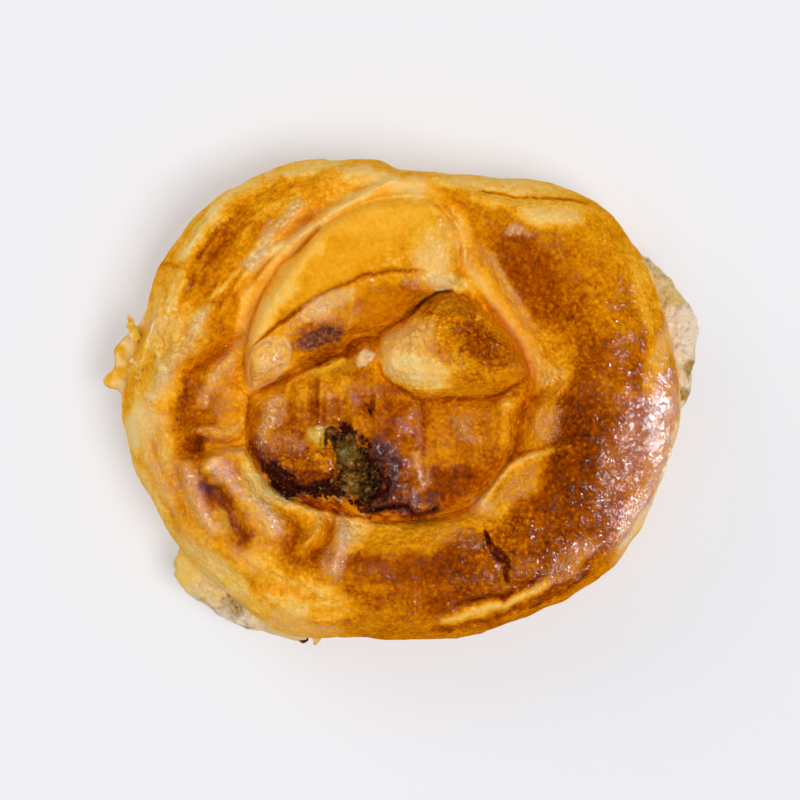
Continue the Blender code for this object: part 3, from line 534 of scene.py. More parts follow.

# Painted lines: level and cover in percent, half width, and points in pixels of the photo. The
# dark lines along creases, folds and under the lip are painted shade
LINES = {"bake": {
    # The dark lines along the creases and folds below are painted shade
    "band's fold": (80, 90, 1.8, *BANDS_FOLD_PATH),
    "band's foot": (66, 90, 2.2, 250, 394, 268, 387, 297, 367, 333, 356, 353, 344, 383, 330, 400, 320,
        420, 304, 440, 291),
    "ring's crease": (74, 80, 2.0, 251, 393, 249, 441, 270, 480, 318, 508),
    "crease at the right": (74, 80, 2.0, 527, 392, 519, 420, 514, 452, 500, 472, 474, 500),
    "inner end's foot": (80, 90, 1.8, 378, 362, 388, 378, 404, 389, 422, 399, 452, 397, 494, 395, 512, 387,
        527, 374),
    "between the lumps": (80, 90, 1.8, 424, 400, 425, 425, 425, 454),
    "tail's crease": (64, 80, 2.2, 247, 333, 229, 344, 211, 355, 190, 362),
    "strand": (16, 80, 3.5, 212, 303, 200, 325, 186, 348, 170, 373, 152, 400),
    "flap's edge": (14, 85, 3.0, 394, 182, 371, 191, 345, 205, 323, 221, 300, 237, 268, 255, 248, 274),
    "groove on the rim": (80, 90, 1.5, 478, 191, 510, 196, 549, 198, 590, 203),
    "first fold": (74, 90, 2.0, 528, 399, 545, 390, 563, 380),
    "second fold": (80, 90, 1.8, 515, 453, 535, 449, 554, 442, 572, 437),
    "second fold's edge": (18, 90, 2.5, 474, 508, 490, 488, 506, 469, 527, 456, 555, 449),
    "notch": (62, 90, 1.2, 158, 267, 168, 266, 182, 268),
    "lip's strip": (20, 85, 4.0, *LIPS_STRIP_PATH),
    # Painted shadow under the lip
    "under the lip": (80, 90, 2.0, *UNDER_THE_LIP_PATH),
    "lines on the band's end": (36, 80, 1.5, *LINES_ON_THE_BANDS_END_PATH),
    "tail's pale strand": (22, 80, 2.5, 292, 216, 268, 238, 246, 264, 224, 288, 204, 304),
    "tail's outer margin": (30, 85, 3.5, 176, 262, 186, 240, 205, 214, 234, 190, 266, 172),
    "ring's inner lip": (18, 90, 6.0, 246, 450, 258, 474, 280, 494, 308, 508, 350, 518, 376, 523),
    "cream slope": (22, 92, 10.0, 452, 214, 463, 240, 472, 268, 492, 298, 514, 328, 536, 358, 546, 386),
    "gap beside the band": (22, 85, 4.5, 330, 222, 303, 246, 285, 260, 268, 280, 255, 303, 249, 330,
        247, 362),
    "thin strand": (18, 90, 1.8, *THIN_STRAND_PATH),
    "foot strands": (22, 80, 1.8, 160, 284, 163, 298, 161, 314),
    "second foot strand": (22, 80, 1.8, 176, 278, 175, 296, 172, 314),
    "crease by the cream slope": (68, 90, 4.5, 477, 290, 496, 312, 514, 336, 526, 360, 530, 384),
    "band's edge": (44, 85, 1.0, *BANDS_EDGE_PATH),
    "crease below the burst": (88, 90, 2.6, 300, 498, 326, 507, 356, 514, 396, 516, 440, 507),
    "orange streak": (64, 85, 5.0, 655, 440, 650, 466, 640, 492, 630, 515),
}, "char": {
    "char below the burst": (100, 100, 1.8, 292, 484, 310, 487, 334, 482),
    "crack in the left lump": (90, 100, 1.6, 368, 403, 370, 409, 373, 414),
    "line below the burst": (80, 90, 1.5, 346, 501, 362, 510, 384, 506, 406, 504, 418, 514, 440, 504),
}, "film": {
    # Painted glints along the lower right rim
    "lower right rim": (60, 85, 6.0, 652, 470, 644, 490, 630, 516, 610, 538, 588, 556),
}, "pale": {
    "shard below the burst": (35, 90, 2.0, *SHARD_BELOW_THE_BURST_PATH),
    "lip's strip": (30, 90, 4.0, *LIPS_STRIP_PATH),
    "cream slope": (35, 85, 5.0, 460, 240, 470, 268, 488, 294, 508, 322, 528, 354, 538, 384),
    # The pale right edge is partly the dough's pale rim and partly a painted highlight
    "right edge": (100, 95, 3.4, 664, 318, 673, 342, 679, 366, 682, 396, 680, 424, 674, 452, 664, 480,
        651, 506, 634, 530, 614, 552),
    "thin strand": (60, 90, 1.6, *THIN_STRAND_PATH),
    "right flap's edge": (100, 95, 1.8, 640, 258, 652, 278, 661, 298, 669, 320, 676, 345, 683, 372),
}}

# Finer folds: height and half width in millimetres, how frosted with fine blisters, which also
# paints sheen on the ridge, and points in pixels of the photo
WRINKLES = {
    "strip beside the band": (0.9, 0.9, 0.0, 394, 182, 371, 191, 345, 205, 323, 221, 300, 237, 282, 246,
        268, 255, 248, 274, 236, 290),
    "gap beside the band": (-0.5, 1.2, 0.0, 323, 226, 303, 247, 285, 260, 268, 280, 256, 303, 247, 330),
    "groove above it": (-0.4, 1.1, 0.0, 316, 214, 290, 234, 266, 258, 246, 284, 228, 312),
    "outer ridge of the tail": (0.8, 1.6, 0.0, 186, 262, 197, 236, 212, 214, 234, 192, 262, 176),
    "outer groove of the tail": (-0.4, 1.2, 0.0, 196, 262, 212, 242, 228, 226, 246, 212, 262, 200,
        282, 190),
    "notch": (-0.8, 0.6, 0.0, 154, 267, 165, 267, 178, 268, 188, 265),
    "first foot strand": (0.6, 0.8, 0.0, 160, 285, 162, 300, 161, 314),
    "second foot strand": (0.6, 0.8, 0.0, 171, 280, 173, 298, 170, 314),
    "third foot strand": (0.6, 0.8, 0.0, 184, 275, 182, 292, 178, 308),
    "upper knuckle": (0.6, 1.0, 0.6, 196, 431, 212, 426, 228, 430, 246, 420),
    "middle knuckle": (-0.7, 0.8, 0.0, 196, 438, 210, 440, 228, 441, 246, 430),
    "lower knuckle": (0.9, 1.1, 0.6, 203, 470, 214, 458, 230, 452, 248, 452),
    "outer ridge": (0.9, 1.5, 0.8, 186, 458, 192, 480, 199, 500, 209, 517, 221, 532),
    "trough": (-1.1, 1.8, 0.0, 205, 474, 216, 488, 228, 504, 240, 528, 248, 548),
    "inner ridge": (1.0, 2.2, 0.8, 208, 462, 232, 479, 252, 496, 268, 514, 276, 538),
    "outer pleat": (-0.7, 0.7, 0.0, 140, 446, 146, 464, 158, 486, 170, 505, 186, 523),
    "second pleat": (-0.6, 0.7, 0.0, 154, 440, 160, 458, 172, 482, 186, 505),
    "upper layer of the side": (-0.5, 0.5, 0.0, 303, 590, 330, 597, 360, 600, 398, 601),
    "lower layer of the side": (-0.5, 0.5, 0.0, 300, 604, 335, 610, 370, 613, 410, 613),
    "crease of the side": (-0.7, 0.7, 0.0, 244, 570, 262, 580, 290, 587, 320, 592),
    "lip's strip": (0.7, 1.0, 0.0, *LIPS_STRIP_PATH),
    "above the strip": (-0.7, 0.8, 0.0, 448, 605, 480, 598, 515, 587, 545, 574, 575, 556),
    "under the lip": (-1.1, 0.7, 0.0, *UNDER_THE_LIP_PATH),
    "second fold's edge": (0.9, 0.8, 0.0, 477, 506, 490, 487, 506, 468, 527, 455, 555, 448, 572, 443),
    "band's fold": (-0.6, 0.5, 0.0, *BANDS_FOLD_PATH),
    "facet's edge": (0.5, 0.6, 0.0, 355, 294, 353, 314, 347, 334),
    "lip under the band": (0.6, 0.8, 0.0, 347, 357, 330, 364, 310, 371, 292, 378),
    "first line on the band's end": (0.5, 0.5, 0.0, *LINES_ON_THE_BANDS_END_PATH),
    "second line on it": (0.5, 0.5, 0.0, 443, 205, 455, 222, 462, 240, 464, 258),
    "first crease down the left lump": (-0.45, 1.3, 0.0, 296, 384, 294, 404, 292, 424),
    "second crease": (-0.45, 1.3, 0.0, 316, 378, 316, 402, 318, 424),
    "third crease": (-0.45, 1.3, 0.0, 336, 376, 338, 396, 341, 414),
    "fourth crease": (-0.45, 1.3, 0.0, 354, 372, 358, 394, 362, 414),
    "fifth crease": (-0.45, 1.3, 0.0, 384, 384, 387, 408, 391, 434),
    "crack": (-0.5, 0.45, 0.0, 368, 402, 370, 409, 373, 415),
    "crease on the right lump": (-0.35, 1.4, 0.0, 446, 406, 456, 428, 466, 452),
    "ridge at its right": (0.8, 1.6, 0.0, 500, 397, 507, 420, 505, 447),
    "valley down the tail": (-0.4, 2.6, 0.0, 330, 168, 290, 182, 254, 208, 229, 240, 206, 276, 192, 306),
    "frosted ridge of the tail": (0.9, 1.8, 0.8, 306, 202, 282, 224, 262, 246, 246, 268),
    "outer streak": (-0.6, 0.9, 0.0, 176, 462, 184, 486, 196, 510, 212, 530),
    "orange valley": (-0.7, 1.6, 0.0, 288, 504, 299, 520, 296, 536, 284, 548),
    "curved ridge": (0.7, 1.0, 0.3, 312, 505, 320, 518, 314, 535, 300, 547),
    "orange pocket": (-0.6, 1.3, 0.0, 326, 510, 333, 524, 326, 544, 312, 556),
    "second curved ridge": (0.8, 1.5, 0.9, 338, 512, 344, 530, 339, 554, 328, 572),
    "ring's inner lip": (0.6, 1.3, 0.1, 236, 386, 247, 402, 249, 424, 247, 446, 256, 468, 276, 494,
        304, 506, 340, 513, 374, 520, 404, 524),
    "strand at the left": (0.9, 1.6, 0.6, 216, 300, 204, 318, 190, 345, 170, 374, 152, 402),
    "valley at the left": (-0.6, 1.6, 0.0, 236, 330, 216, 350, 198, 368, 186, 386, 182, 410),
    "second ridge at the left": (0.6, 1.4, 0.8, 238, 352, 222, 370, 210, 390, 206, 412),
    "fold over the left lump": (0.5, 1.5, 0.9, 284, 392, 276, 408, 268, 428, 264, 446),
    "shard": (0.8, 0.8, 0.0, *SHARD_BELOW_THE_BURST_PATH),
    "line below the burst": (-1.2, 0.5, 0.0, 346, 500, 362, 509, 384, 506, 406, 504, 418, 515, 440, 504),
    "crack left of the burst": (-1.4, 0.5, 0.0, 292, 484, 308, 486, 326, 480, 336, 481),
    "orange flap's edge": (0.35, 0.8, 0.0, 332, 458, 318, 454, 303, 462, 300, 474, 312, 480),
    "right lump's frosted ridge": (0.6, 1.4, 0.8, 416, 446, 420, 460, 422, 476, 428, 490),
    "crown's inner edge": (0.5, 1.0, 0.3, 480, 244, 494, 264, 506, 286, 520, 306, 538, 330),
    "thin strand": (0.5, 0.6, 0.0, *THIN_STRAND_PATH),
    "band's edge": (-0.5, 0.5, 0.0, *BANDS_EDGE_PATH),
    "first fine fold of the tail": (0.35, 0.5, 0.0, 320, 196, 297, 208, 277, 226, 263, 246),
    "second fine fold of the tail": (0.35, 0.5, 0.0, 302, 186, 277, 200, 257, 218, 241, 240),
    "third fine fold of the tail": (0.35, 0.5, 0.0, 234, 262, 220, 282, 208, 303),
    "fourth fine fold of the tail": (-0.35, 0.5, 0.0, 246, 268, 232, 286, 220, 308),
    "crossing fold of the tail": (0.3, 0.5, 0.0, 262, 236, 250, 258, 234, 276, 222, 300),
    "first fine fold at the left": (0.35, 0.6, 0.0, 150, 396, 158, 414, 168, 432, 184, 446),
    "second fine fold at the left": (0.35, 0.6, 0.3, 196, 372, 190, 392, 180, 408),
    "third fine fold at the left": (0.3, 0.6, 0.3, 236, 384, 224, 398, 214, 414),
    "first fine fold of the right lump": (0.35, 0.7, 0.3, 470, 404, 478, 424, 482, 446),
    "fold under the first fold": (0.35, 0.7, 0.6, 541, 402, 536, 420, 540, 440),
}

# How much of the blotches' jitter the lines have
LINE_JITTER = 0.3

# How much higher the finer folds are than the table says, how much browner a groove is painted
# for each millimetre of depth as painted shade, and a ridge as much paler as painted light, and
# how far the frost and painted sheen reach past a ridge
WRINKLE_GAIN = 2.0
GROOVE_BAKE_AND_SHADE = 0.12
FROST_AND_SHEEN_REACH = 1.1

# The round blister on the band's end
BLISTER = [(256, 346), (268, 338), (283, 337), (292, 342), (292, 354), (288, 365), (278, 378),
           (264, 385), (251, 389), (249, 375), (251, 358)]

# Bits of potato in the burst: height, radius and place in millimetres, then the places and radii
# of a pale bit and of a greenish one, and how low the mound reaches
POTATO_BITS = [
    (1.8, 2.1, (-10.8, -17.6)), (1.0, 1.0, (-13.6, -14.6)), (1.2, 0.9, (-16.4, -19.6)),
    (1.0, 0.7, (-14.8, -17.4)), (0.9, 1.2, (-12.0, -11.6)), (0.8, 0.8, (-13.8, -20.6)),
]
PALE_BIT = ((-11.6, -11.6), 2.4)
GREEN_BIT = ((-11.8, -11.4), 2.0)
MOUND_FLOOR = 14

# The ragged edge of the burst
BURST_EDGE = [(327, 424), (345, 424), (360, 434), (371, 445), (380, 458), (385, 474), (383, 490),
              (372, 503), (356, 503), (344, 497), (334, 490), (328, 483), (333, 471), (330, 456), (324, 440)]

# The crust sags towards that edge over a width, and past it, further in, falls into the pit over
# another
SAG, SAG_WIDTH = 2.4, 3.2
PIT_DEPTH, PIT_EDGE, PIT_SLOPE = 13.0, 1.5, 2

# The long split in the ring
SPLIT = [(18.4, -28.2), (20, -32), (23, -35.5), (22.8, -38), (23.4, -40.2)]
SPLIT_DEPTH = 2.0

# Torn flakes: root and tip in pixels of the photo, then in millimetres widths and lift above the
# crust at both and thickness, and how baked
FLAKES = {
    "spike": ((138, 340), (128, 313), (3.4, 0.6), (2.0, 1.6), 1.2, 0.16),
    "first sliver": ((132, 358), (145, 369), (1.3, 1.0), (3.6, 1.8), 0.7, 0.10),
    "second sliver": ((128, 366), (141, 379), (1.3, 1.0), (3.6, 1.8), 0.7, 0.12),
    "long strand": ((196, 330), (154, 388), (1.8, 1.2), (0.1, 0.1), 0.7, 0.20),
    "cross strand": ((160, 316), (146, 352), (1.4, 1.0), (0.1, 0.1), 0.6, 0.12),
    "scrap": ((300, 622), (303, 643), (4.0, 2.2), (-8.0, -10.0), 1.4, 0.95),
    "pointed bit": ((326, 622), (315, 645), (4.5, 1.0), (-8.0, -10.0), 1.4, 0.20),
}

# Charred shreds of dough round the burst: root and tip in pixels, widths and lift above the crust
# at both, thickness, and how baked
SHREDS = {
    "shard": ((330, 492), (366, 515), (2.0, 1.0), (0.1, 0.1), 0.8, 0.64),
    "below the shard": ((372, 515), (406, 517), (1.6, 1.0), (0.1, 0.0), 0.7, 0.70),
}

# The short shreds along the edge of the burst, right of a place: their spacing and seed
SHREDS_START = -12.5
SHRED_SPACING = 1.1
SHRED_SEED = 91

# Ragged layers that stick out past the rim: height of the middle, thickness, how baked, outline
FRINGES = {
    "left": (12.8, 4.6, 0.24, [
        (156, 298), (148, 305), (142, 318), (136, 328), (128, 333), (120, 341), (114, 349),
        (115, 360), (113, 369), (106, 374), (103, 381), (109, 387), (118, 389), (126, 399),
        (142, 404), (166, 380), (176, 345), (170, 315)]),
}

# ---------------------------------------------------------------- the crust's relief

# Ripples, each a height and a spacing in millimetres and a seed: the unevenness that the solids
# have too, the grain, the jitter of painted places in pixels, the torn rim of the burst, the
# patches of bake on flakes, and the layers of a torn fringe
UNEVEN = [(0.5, 9.0, 1), (0.3, 4.0, 2)]
GRAIN = [(0.12, 1.3, 8), (0.06, 0.6, 9)]
JITTER = [[(3.5, 14, 21), (2.0, 5, 31)], [(3.5, 14, 22), (2.0, 5, 32)]]
TORN_RIM = [(1.8, 3.0, 41), (1.1, 1.2, 42)]
LEAF_PATCHES = [(1.0, 1.6, 61)]

# Creased skin: the same, for ripples folded at their middle
CRUMPLES = [(1.0, 5.0, 12), (0.4, 2.4, 13)]

# Blisters: height, size, the share of places that have one, and seed
BUBBLES = [(0.35, 3.4, 0.5, 4), (0.22, 1.7, 0.6, 5)]
SPECKS = [(0.12, 0.9, 0.7, 6)]
POTATO_LUMPS = [(1.2, 3.0, 0.9, 71), (0.9, 1.5, 0.8, 72)]

# The potato's ripples: on the mound, in its tone, on the leaks, their outlines and their tone
MOUND_RIPPLES = [(0.8, 3.5, 7), (0.5, 0.9, 73)]
LEAK_RIPPLES = [(0.7, 4.0, 11), (0.35, 0.9, 76)]
LEAK_LUMPS = [(0.9, 2.6, 0.8, 75)]
LEAK_CRAGS = [(0.10, 3.0, 79), (0.03, 1.1, 80)]
LEAK_TONES = [(0.25, 3.0, 77), (0.15, 1.0, 81)]

# Where along the skin of the rope its bake changes, in millimetres from the crease: the top ends
# at 27, the side adds 13 for each radian, and the underside lies at 50
BAKE_MARKS = (0, 6, 13, 21, 27, 33, 46, 60)
TOP_GIRTH, SIDE_GIRTH, UNDER_GIRTH = 27, 13, 50
SIDE_BAKE, UNDER_BAKE = 0.33, 0.45

# The radius of the round ring that the streaks along the rope follow, and a streak's length and
# width
STREAK_RING, STREAK_LENGTH, STREAK_WIDTH = 48, 10, 1.5

# ---------------------------------------------------------------- the studio

# Heights in metres; PIXEL holds at this level in millimetres, on the crowns of the turns
CAMERA_HEIGHT = 1.5
SCALE_LEVEL = 16.0
SENSOR = 36
FRAME = 800
FLOOR_SIZE = 3.0
WORLD_STRENGTH = 0.38
SKY_TINT = (0.92, 0.99, 1.14, 1)
LAMP_TINT = (1.0, 0.97, 0.94)

# Soft lights that are kept out of the gloss: strength, how wide they look in degrees, and place
SOFT_LIGHTS = [(1.90, 30.0, (0.36, -0.24, 1.0)), (0.78, 40.0, (-0.75, 0.55, 0.50))]

# Small lights that only the gloss shows, and the strip low at the right that the dark shoulder
# shines in: its place, size and power in watts
GLOSS_LIGHTS = [(1.5, 8.0, (0.26, -0.04, 1.0)), (1.1, 8.0, (-0.30, 0.25, 1.0))]
SIDE_STRIP = ((0.72, -0.13, 0.12), (0.26, 0.16), 40.0)

# How much of the table's brightness is its own, as on a lit table
TABLE_GLOW = 0.34

# ---------------------------------------------------------------- fineness of the grids

AROUND = 960
TOP_ROWS = 64
SIDE_ROWS = 21
UNDER_ROWS = 8
WALL_ROWS = 5
DISC = 275
FRINGE_DISC, LEAK_DISC, MOUND_DISC = 61, 91, 151
WALL_FOOT = 1.5


def from_photo(points):
    """Millimetres from pixels: x = (column - 400.75) * 0.2188 and y = (399 - row) * 0.2188."""
    return (np.array(points, float) - PHOTO_CENTRE) * (PIXEL, -PIXEL)


def pairs(numbers):
    """Points from a row of numbers."""
    return np.reshape(numbers, (-1, 2))


def stacked(x, y, z):
    """Places or directions from three arrays that fit together."""
    return np.stack(np.broadcast_arrays(x, y, z), -1)


def polar(radius, angle, z):
    """Places round the hub."""
    return stacked(HUB[0] + radius * np.cos(angle), HUB[1] + radius * np.sin(angle), z)


def smooth(points, closed=False, step=2.0):
    """Even points on a Catmull-Rom curve: between two given points it is a cubic whose slope at
    each is half the way between that point's neighbours."""
    p = np.array(points, float)
    if closed:
        p = np.vstack([p[-1:], p, p[:2]])
    else:
        p = np.vstack([2 * p[:1] - p[1:2], p, 2 * p[-1:] - p[-2:-1]])
    t = np.linspace(0, 1, 12, endpoint=False)[:, None]
    spans = [
        0.5 * (2 * b + (c - a) * t + (2 * a - 5 * b + 4 * c - d) * t**2
               + (3 * b - a - 3 * c + d) * t**3)
        for a, b, c, d in zip(p, p[1:], p[2:], p[3:])
    ]
    curve = np.vstack(spans + [p[-2:-1]])
    length = np.linalg.norm(np.diff(curve, axis=0), axis=1).cumsum()
    length = np.concatenate([[0], length])
    even = np.linspace(0, length[-1], max(2, round(length[-1] / step)) + 1)
    even = np.column_stack([np.interp(even, length, column) for column in curve.T])
    return even[:-1] if closed else even


def along(x, y, path):
    """The distance to a path of straight pieces, the share of the way along it, and the side:
    1 on its left and -1 on its right."""
    near = np.full(x.shape, np.inf)
    share = np.zeros(x.shape)
    side = np.ones(x.shape)
    for k, (start, end) in enumerate(zip(path[:-1], path[1:])):
        run = end - start
        t = ((x - start[0]) * run[0] + (y - start[1]) * run[1]) / (run @ run)
        t = t.clip(0, 1)
        across = x - start[0] - t * run[0]
        up = y - start[1] - t * run[1]
        far = np.hypot(across, up)
        closer = far < near
        near = np.where(closer, far, near)
        share = np.where(closer, (k + t) / (len(path) - 1), share)
        side = np.where(closer, np.sign(run[0] * up - run[1] * across), side)
    return near, share, side


def near_line(x, y, points, limit):
    """As along(), on the smooth curve through the points, and worked out only within the limit of
    its box. Further off the distance is infinite."""
    path = smooth(points, step=1.0)
    low, high = path.min(0) - limit, path.max(0) + limit
    close = (x > low[0]) & (x < high[0]) & (y > low[1]) & (y < high[1])
    near = np.full(x.shape, np.inf)
    share = np.full(x.shape, 0.5)
    side = np.ones(x.shape)
    near[close], share[close], side[close] = along(x[close], y[close], path)
    return near, share, side


def depth_in(x, y, outline):
    """The distance to a closed outline, above 0 inside it."""
    loop = smooth(outline, closed=True)
    loop = np.vstack([loop, loop[:1]])
    inside = np.zeros(x.shape, bool)
    for start, end in zip(loop[:-1], loop[1:]):
        rise = end[1] - start[1]
        if rise:
            crosses = (start[1] > y) != (end[1] > y)
            inside ^= crosses & (x < start[0] + (y - start[1]) * (end[0] - start[0]) / rise)
    near = along(x, y, loop)[0]
    return np.where(inside, near, -near)


def swell(t, power=2.0, soft=0.0):
    """A round shoulder that climbs from 0 to 1 as t does: part of a superellipse. Its foot is
    eased over the share soft."""
    t = np.clip(t, 0, 1)
    t = t * t * (1 + soft) / (t + soft + 1e-9)
    return (1 - (1 - t) ** power) ** (1 / power)


def bell(distance, width):
    """The Gaussian exp(-(distance / width)^2)."""
    return np.exp(-((distance / width) ** 2))


def ease(t):
    """The smooth step 3 t^2 - 2 t^3."""
    t = np.clip(t, 0, 1)
    return t * t * (3 - 2 * t)


def tapered(share, steep=6):
    """1 along a line and falling round to 0 at its two ends."""
    return swell(steep * np.minimum(share, 1 - share))


def ripples(x, y, z, size, seed):
    """Smooth noise from -1 to 1: random values on a cubic lattice with this spacing, eased
    between its points."""
    values = np.random.default_rng(seed).uniform(-1, 1, (32, 32, 32))
    corner, part = [], []
    for axis in (x, y, z):
        cell = np.floor(axis / size)
        corner.append(cell.astype(int))
        part.append(ease(axis / size - cell))
    total = 0
    for step in np.ndindex(2, 2, 2):
        share = 1
        for ahead, p in zip(step, part):
            share = share * (p if ahead else 1 - p)
        i, j, k = [(n + ahead) % 32 for n, ahead in zip(corner, step)]
        total = total + share * values[i, j, k]
    return total


def waves(x, y, z, table):
    """Ripples added up, by a table of height, spacing and seed."""
    return sum(height * ripples(x, y, z, size, seed) for height, size, seed in table)


def blisters(x, y, size, fill, seed):
    """Round bubbles, one in each square of this size: the highest of the domes
    1 - (distance / radius)^2 about a random middle, with a random radius up to half the size.
    fill is the share of squares that have one."""
    draw = np.random.default_rng(seed)
    shift = draw.uniform(0.2, 0.8, (64, 64, 2))
    radius = draw.uniform(0.22, 0.5, (64, 64)) * (draw.uniform(0, 1, (64, 64)) < fill)
    column, row = np.floor(x / size).astype(int), np.floor(y / size).astype(int)
    best = np.zeros(x.shape)
    for across in (-1, 0, 1):
        for up in (-1, 0, 1):
            i, j = (column + across) % 64, (row + up) % 64
            dx = x / size - column - across - shift[i, j, 0]
            dy = y / size - row - up - shift[i, j, 1]
            r = np.maximum(radius[i, j], 1e-6)
            best = np.maximum(best, (1 - (dx * dx + dy * dy) / r**2) * r * 2)
    return best


def bubbled(x, y, table):
    """Blisters added up, by a table of height, size, fill and seed."""
    return sum(height * blisters(x, y, size, fill, seed) for height, size, fill, seed in table)


def turn_sizes(angle, crown, rim):
    """The outer turn's sizes at each angle, each the mean of five places within 12 degrees, so
    that they change smoothly."""
    places, *columns = np.array(TURN).T
    degrees = np.degrees(angle)
    sizes = [
        np.mean([np.interp(degrees + d, places, column, period=360) for d in range(-12, 13, 6)], 0)
        for column in columns
    ]
    return [sizes[0] * crown, sizes[1] * rim] + sizes[2:]


def radius_at(angle, arm):
    """How far a loop of points lies from the origin at each angle."""
    turn, far = np.arctan2(arm[:, 1], arm[:, 0]), np.hypot(arm[:, 0], arm[:, 1])
    return np.interp(angle, turn, far, period=2 * np.pi)


def reach(angle, outline):
    """The distance from the hub to an outline at each angle."""
    return radius_at(angle, smooth(outline, closed=True, step=1.0) - HUB)


def disc(count):
    """A square grid bent into a disc: each square ring becomes a round one. Gives the level, 0 in
    the middle and 1 at the edge, and the angle."""
    a, b = np.meshgrid(np.linspace(-1, 1, count), np.linspace(-1, 1, count))
    level = np.maximum(abs(a), abs(b))
    wide = abs(a) >= abs(b)
    longer, shorter = np.where(wide, a, b), np.where(wide, b, a)
    turn = np.pi / 4 * shorter / np.where(longer == 0, 1, longer)
    behind = np.where(longer < 0, np.pi, 0)
    return level, np.where(wide, behind + turn, np.pi / 2 - turn + behind)


def edge_of(grid):
    """The edge of a square grid in order, anticlockwise."""
    return np.concatenate([grid[0, :-1], grid[:-1, -1], grid[-1, :0:-1], grid[:0:-1, 0]])


def quads(rows):
    """The faces between the rows of a grid of point numbers."""
    faces = [rows[:-1, :-1], rows[:-1, 1:], rows[1:, 1:], rows[1:, :-1]]
    return np.stack(faces, -1).reshape(-1, 4)


def wrapped(numbers):
    """A grid of point numbers that ends with its first column again."""
    return np.hstack([numbers, numbers[:, :1]])


def fan(pole, ring):
    """The triangles from a pole to the ring of points round it."""
    return np.stack([0 * ring[1:] + pole, ring[:-1], ring[1:]], -1)


def lobe_list(sizes):
    """The lobes inside the crease: crown height, width of the shoulder, outline."""
    crowns = (sizes.band_crown, sizes.nugget_crown, sizes.left_lump_crown, sizes.right_lump_crown)
    return [(crown * 1000, *lobe) for crown, lobe in zip(crowns, LOBES)]


def middle_height(x, y, floor, lobes):
    """The highest of the lobes, each a cushion over its own outline, with the band bent down past
    its fold line. Also which lobe it is."""
    heights = [floor + 0 * x]
    for crown, edge, outline in lobes:
        rise = swell(depth_in(x, y, outline) / edge, LOBE_ROUNDNESS, 0.06)
        lobe = floor + (crown - floor) * rise
        if outline is BAND:
            near, share, side = along(x, y, smooth(BAND_FOLD))
            slope = BAND_SLOPE * ease(4 * (1 - share))
            lobe = lobe - np.where(side < 0, slope * near, 0)
        heights.append(lobe)
    heights = np.array(heights)
    return heights.max(0), heights.argmax(0)


def outer_turn_height(angle, share, crown, rim):
    """The outer turn: two round shoulders that meet at its crown. share runs from 0 at the crease
    to 1 at the rim. Also how far past the crown a place is."""
    crown, rim, crease, place, roundness = turn_sizes(angle, crown, rim)
    outer = rim + (crown - rim) * swell((1 - share) / (1 - place), 2.1)
    inner = crease + (crown - crease) * swell(share / place, roundness, 0.05)
    return np.where(share > place, outer, inner), ((share - place) / (1 - place)).clip(0, 1)


def ring_height(x, y, crown, rim):
    """The height of the outer turn over a place, and of its rim past it."""
    angle = np.arctan2(y - HUB[1], x - HUB[0])
    crease, edge = reach(angle, CREASE), reach(angle, RIM)
    share = (np.hypot(x - HUB[0], y - HUB[1]) - crease) / (edge - crease)
    return outer_turn_height(angle, share.clip(0, 1), crown, rim)[0]


def fold_relief(x, y):
    """What the folds, steps, spots and the blister's skin and edge add to the height."""
    total = np.zeros(x.shape)
    lines = [(rise, width, points) for rise, width, points in FOLDS]
    lines += [(WRINKLE_GAIN * rise, width, from_photo(pairs(points)))
              for rise, width, _, *points in WRINKLES.values()]
    for rise, width, points in lines:
        near, share, _ = near_line(x, y, points, 3 * width)
        total += rise * bell(near, width) * tapered(share)
    for rise, width, points in STEPS:
        near, share, side = near_line(x, y, points, 5 * width)
        total += rise * np.tanh(side * near / 0.5) * np.exp(-near / width) * tapered(share)
    for rise, radius, place in SPOTS:
        total += rise * bell(np.hypot(x - place[0], y - place[1]), radius)
    depth = depth_in(x, y, from_photo(BLISTER))
    return total + 0.5 * ease(depth / 0.6) + 0.35 * bell(depth - 0.6, 0.4)


def new_mesh(name, places, *face_groups):
    """A smooth mesh in metres from places in millimetres and arrays of faces."""
    mesh = bpy.data.meshes.new(name)
    mesh.vertices.add(len(places))
    mesh.vertices.foreach_set("co", (places / 1000).astype(np.float32).ravel())
    corners = np.concatenate([group.ravel() for group in face_groups])
    sides = np.concatenate([np.full(len(group), group.shape[1]) for group in face_groups])
    starts = np.concatenate([[0], sides.cumsum()[:-1]])
    mesh.loops.add(len(corners))
    mesh.loops.foreach_set("vertex_index", corners.astype(np.int32))
    mesh.polygons.add(len(sides))
    mesh.polygons.foreach_set("loop_start", starts.astype(np.int32))
    mesh.update(calc_edges=True)
    mesh.validate()
    mesh.shade_smooth()
    return mesh


def store(mesh, **fields):
    """Keeps fields, clipped to 0 to 1, as attributes of the mesh's points."""
    for name, values in fields.items():
        attribute = mesh.attributes.new(name, "FLOAT", "POINT")
        values = np.ravel(values) + np.zeros(len(mesh.vertices))
        attribute.data.foreach_set("value", values.clip(0, 1).astype(np.float32))


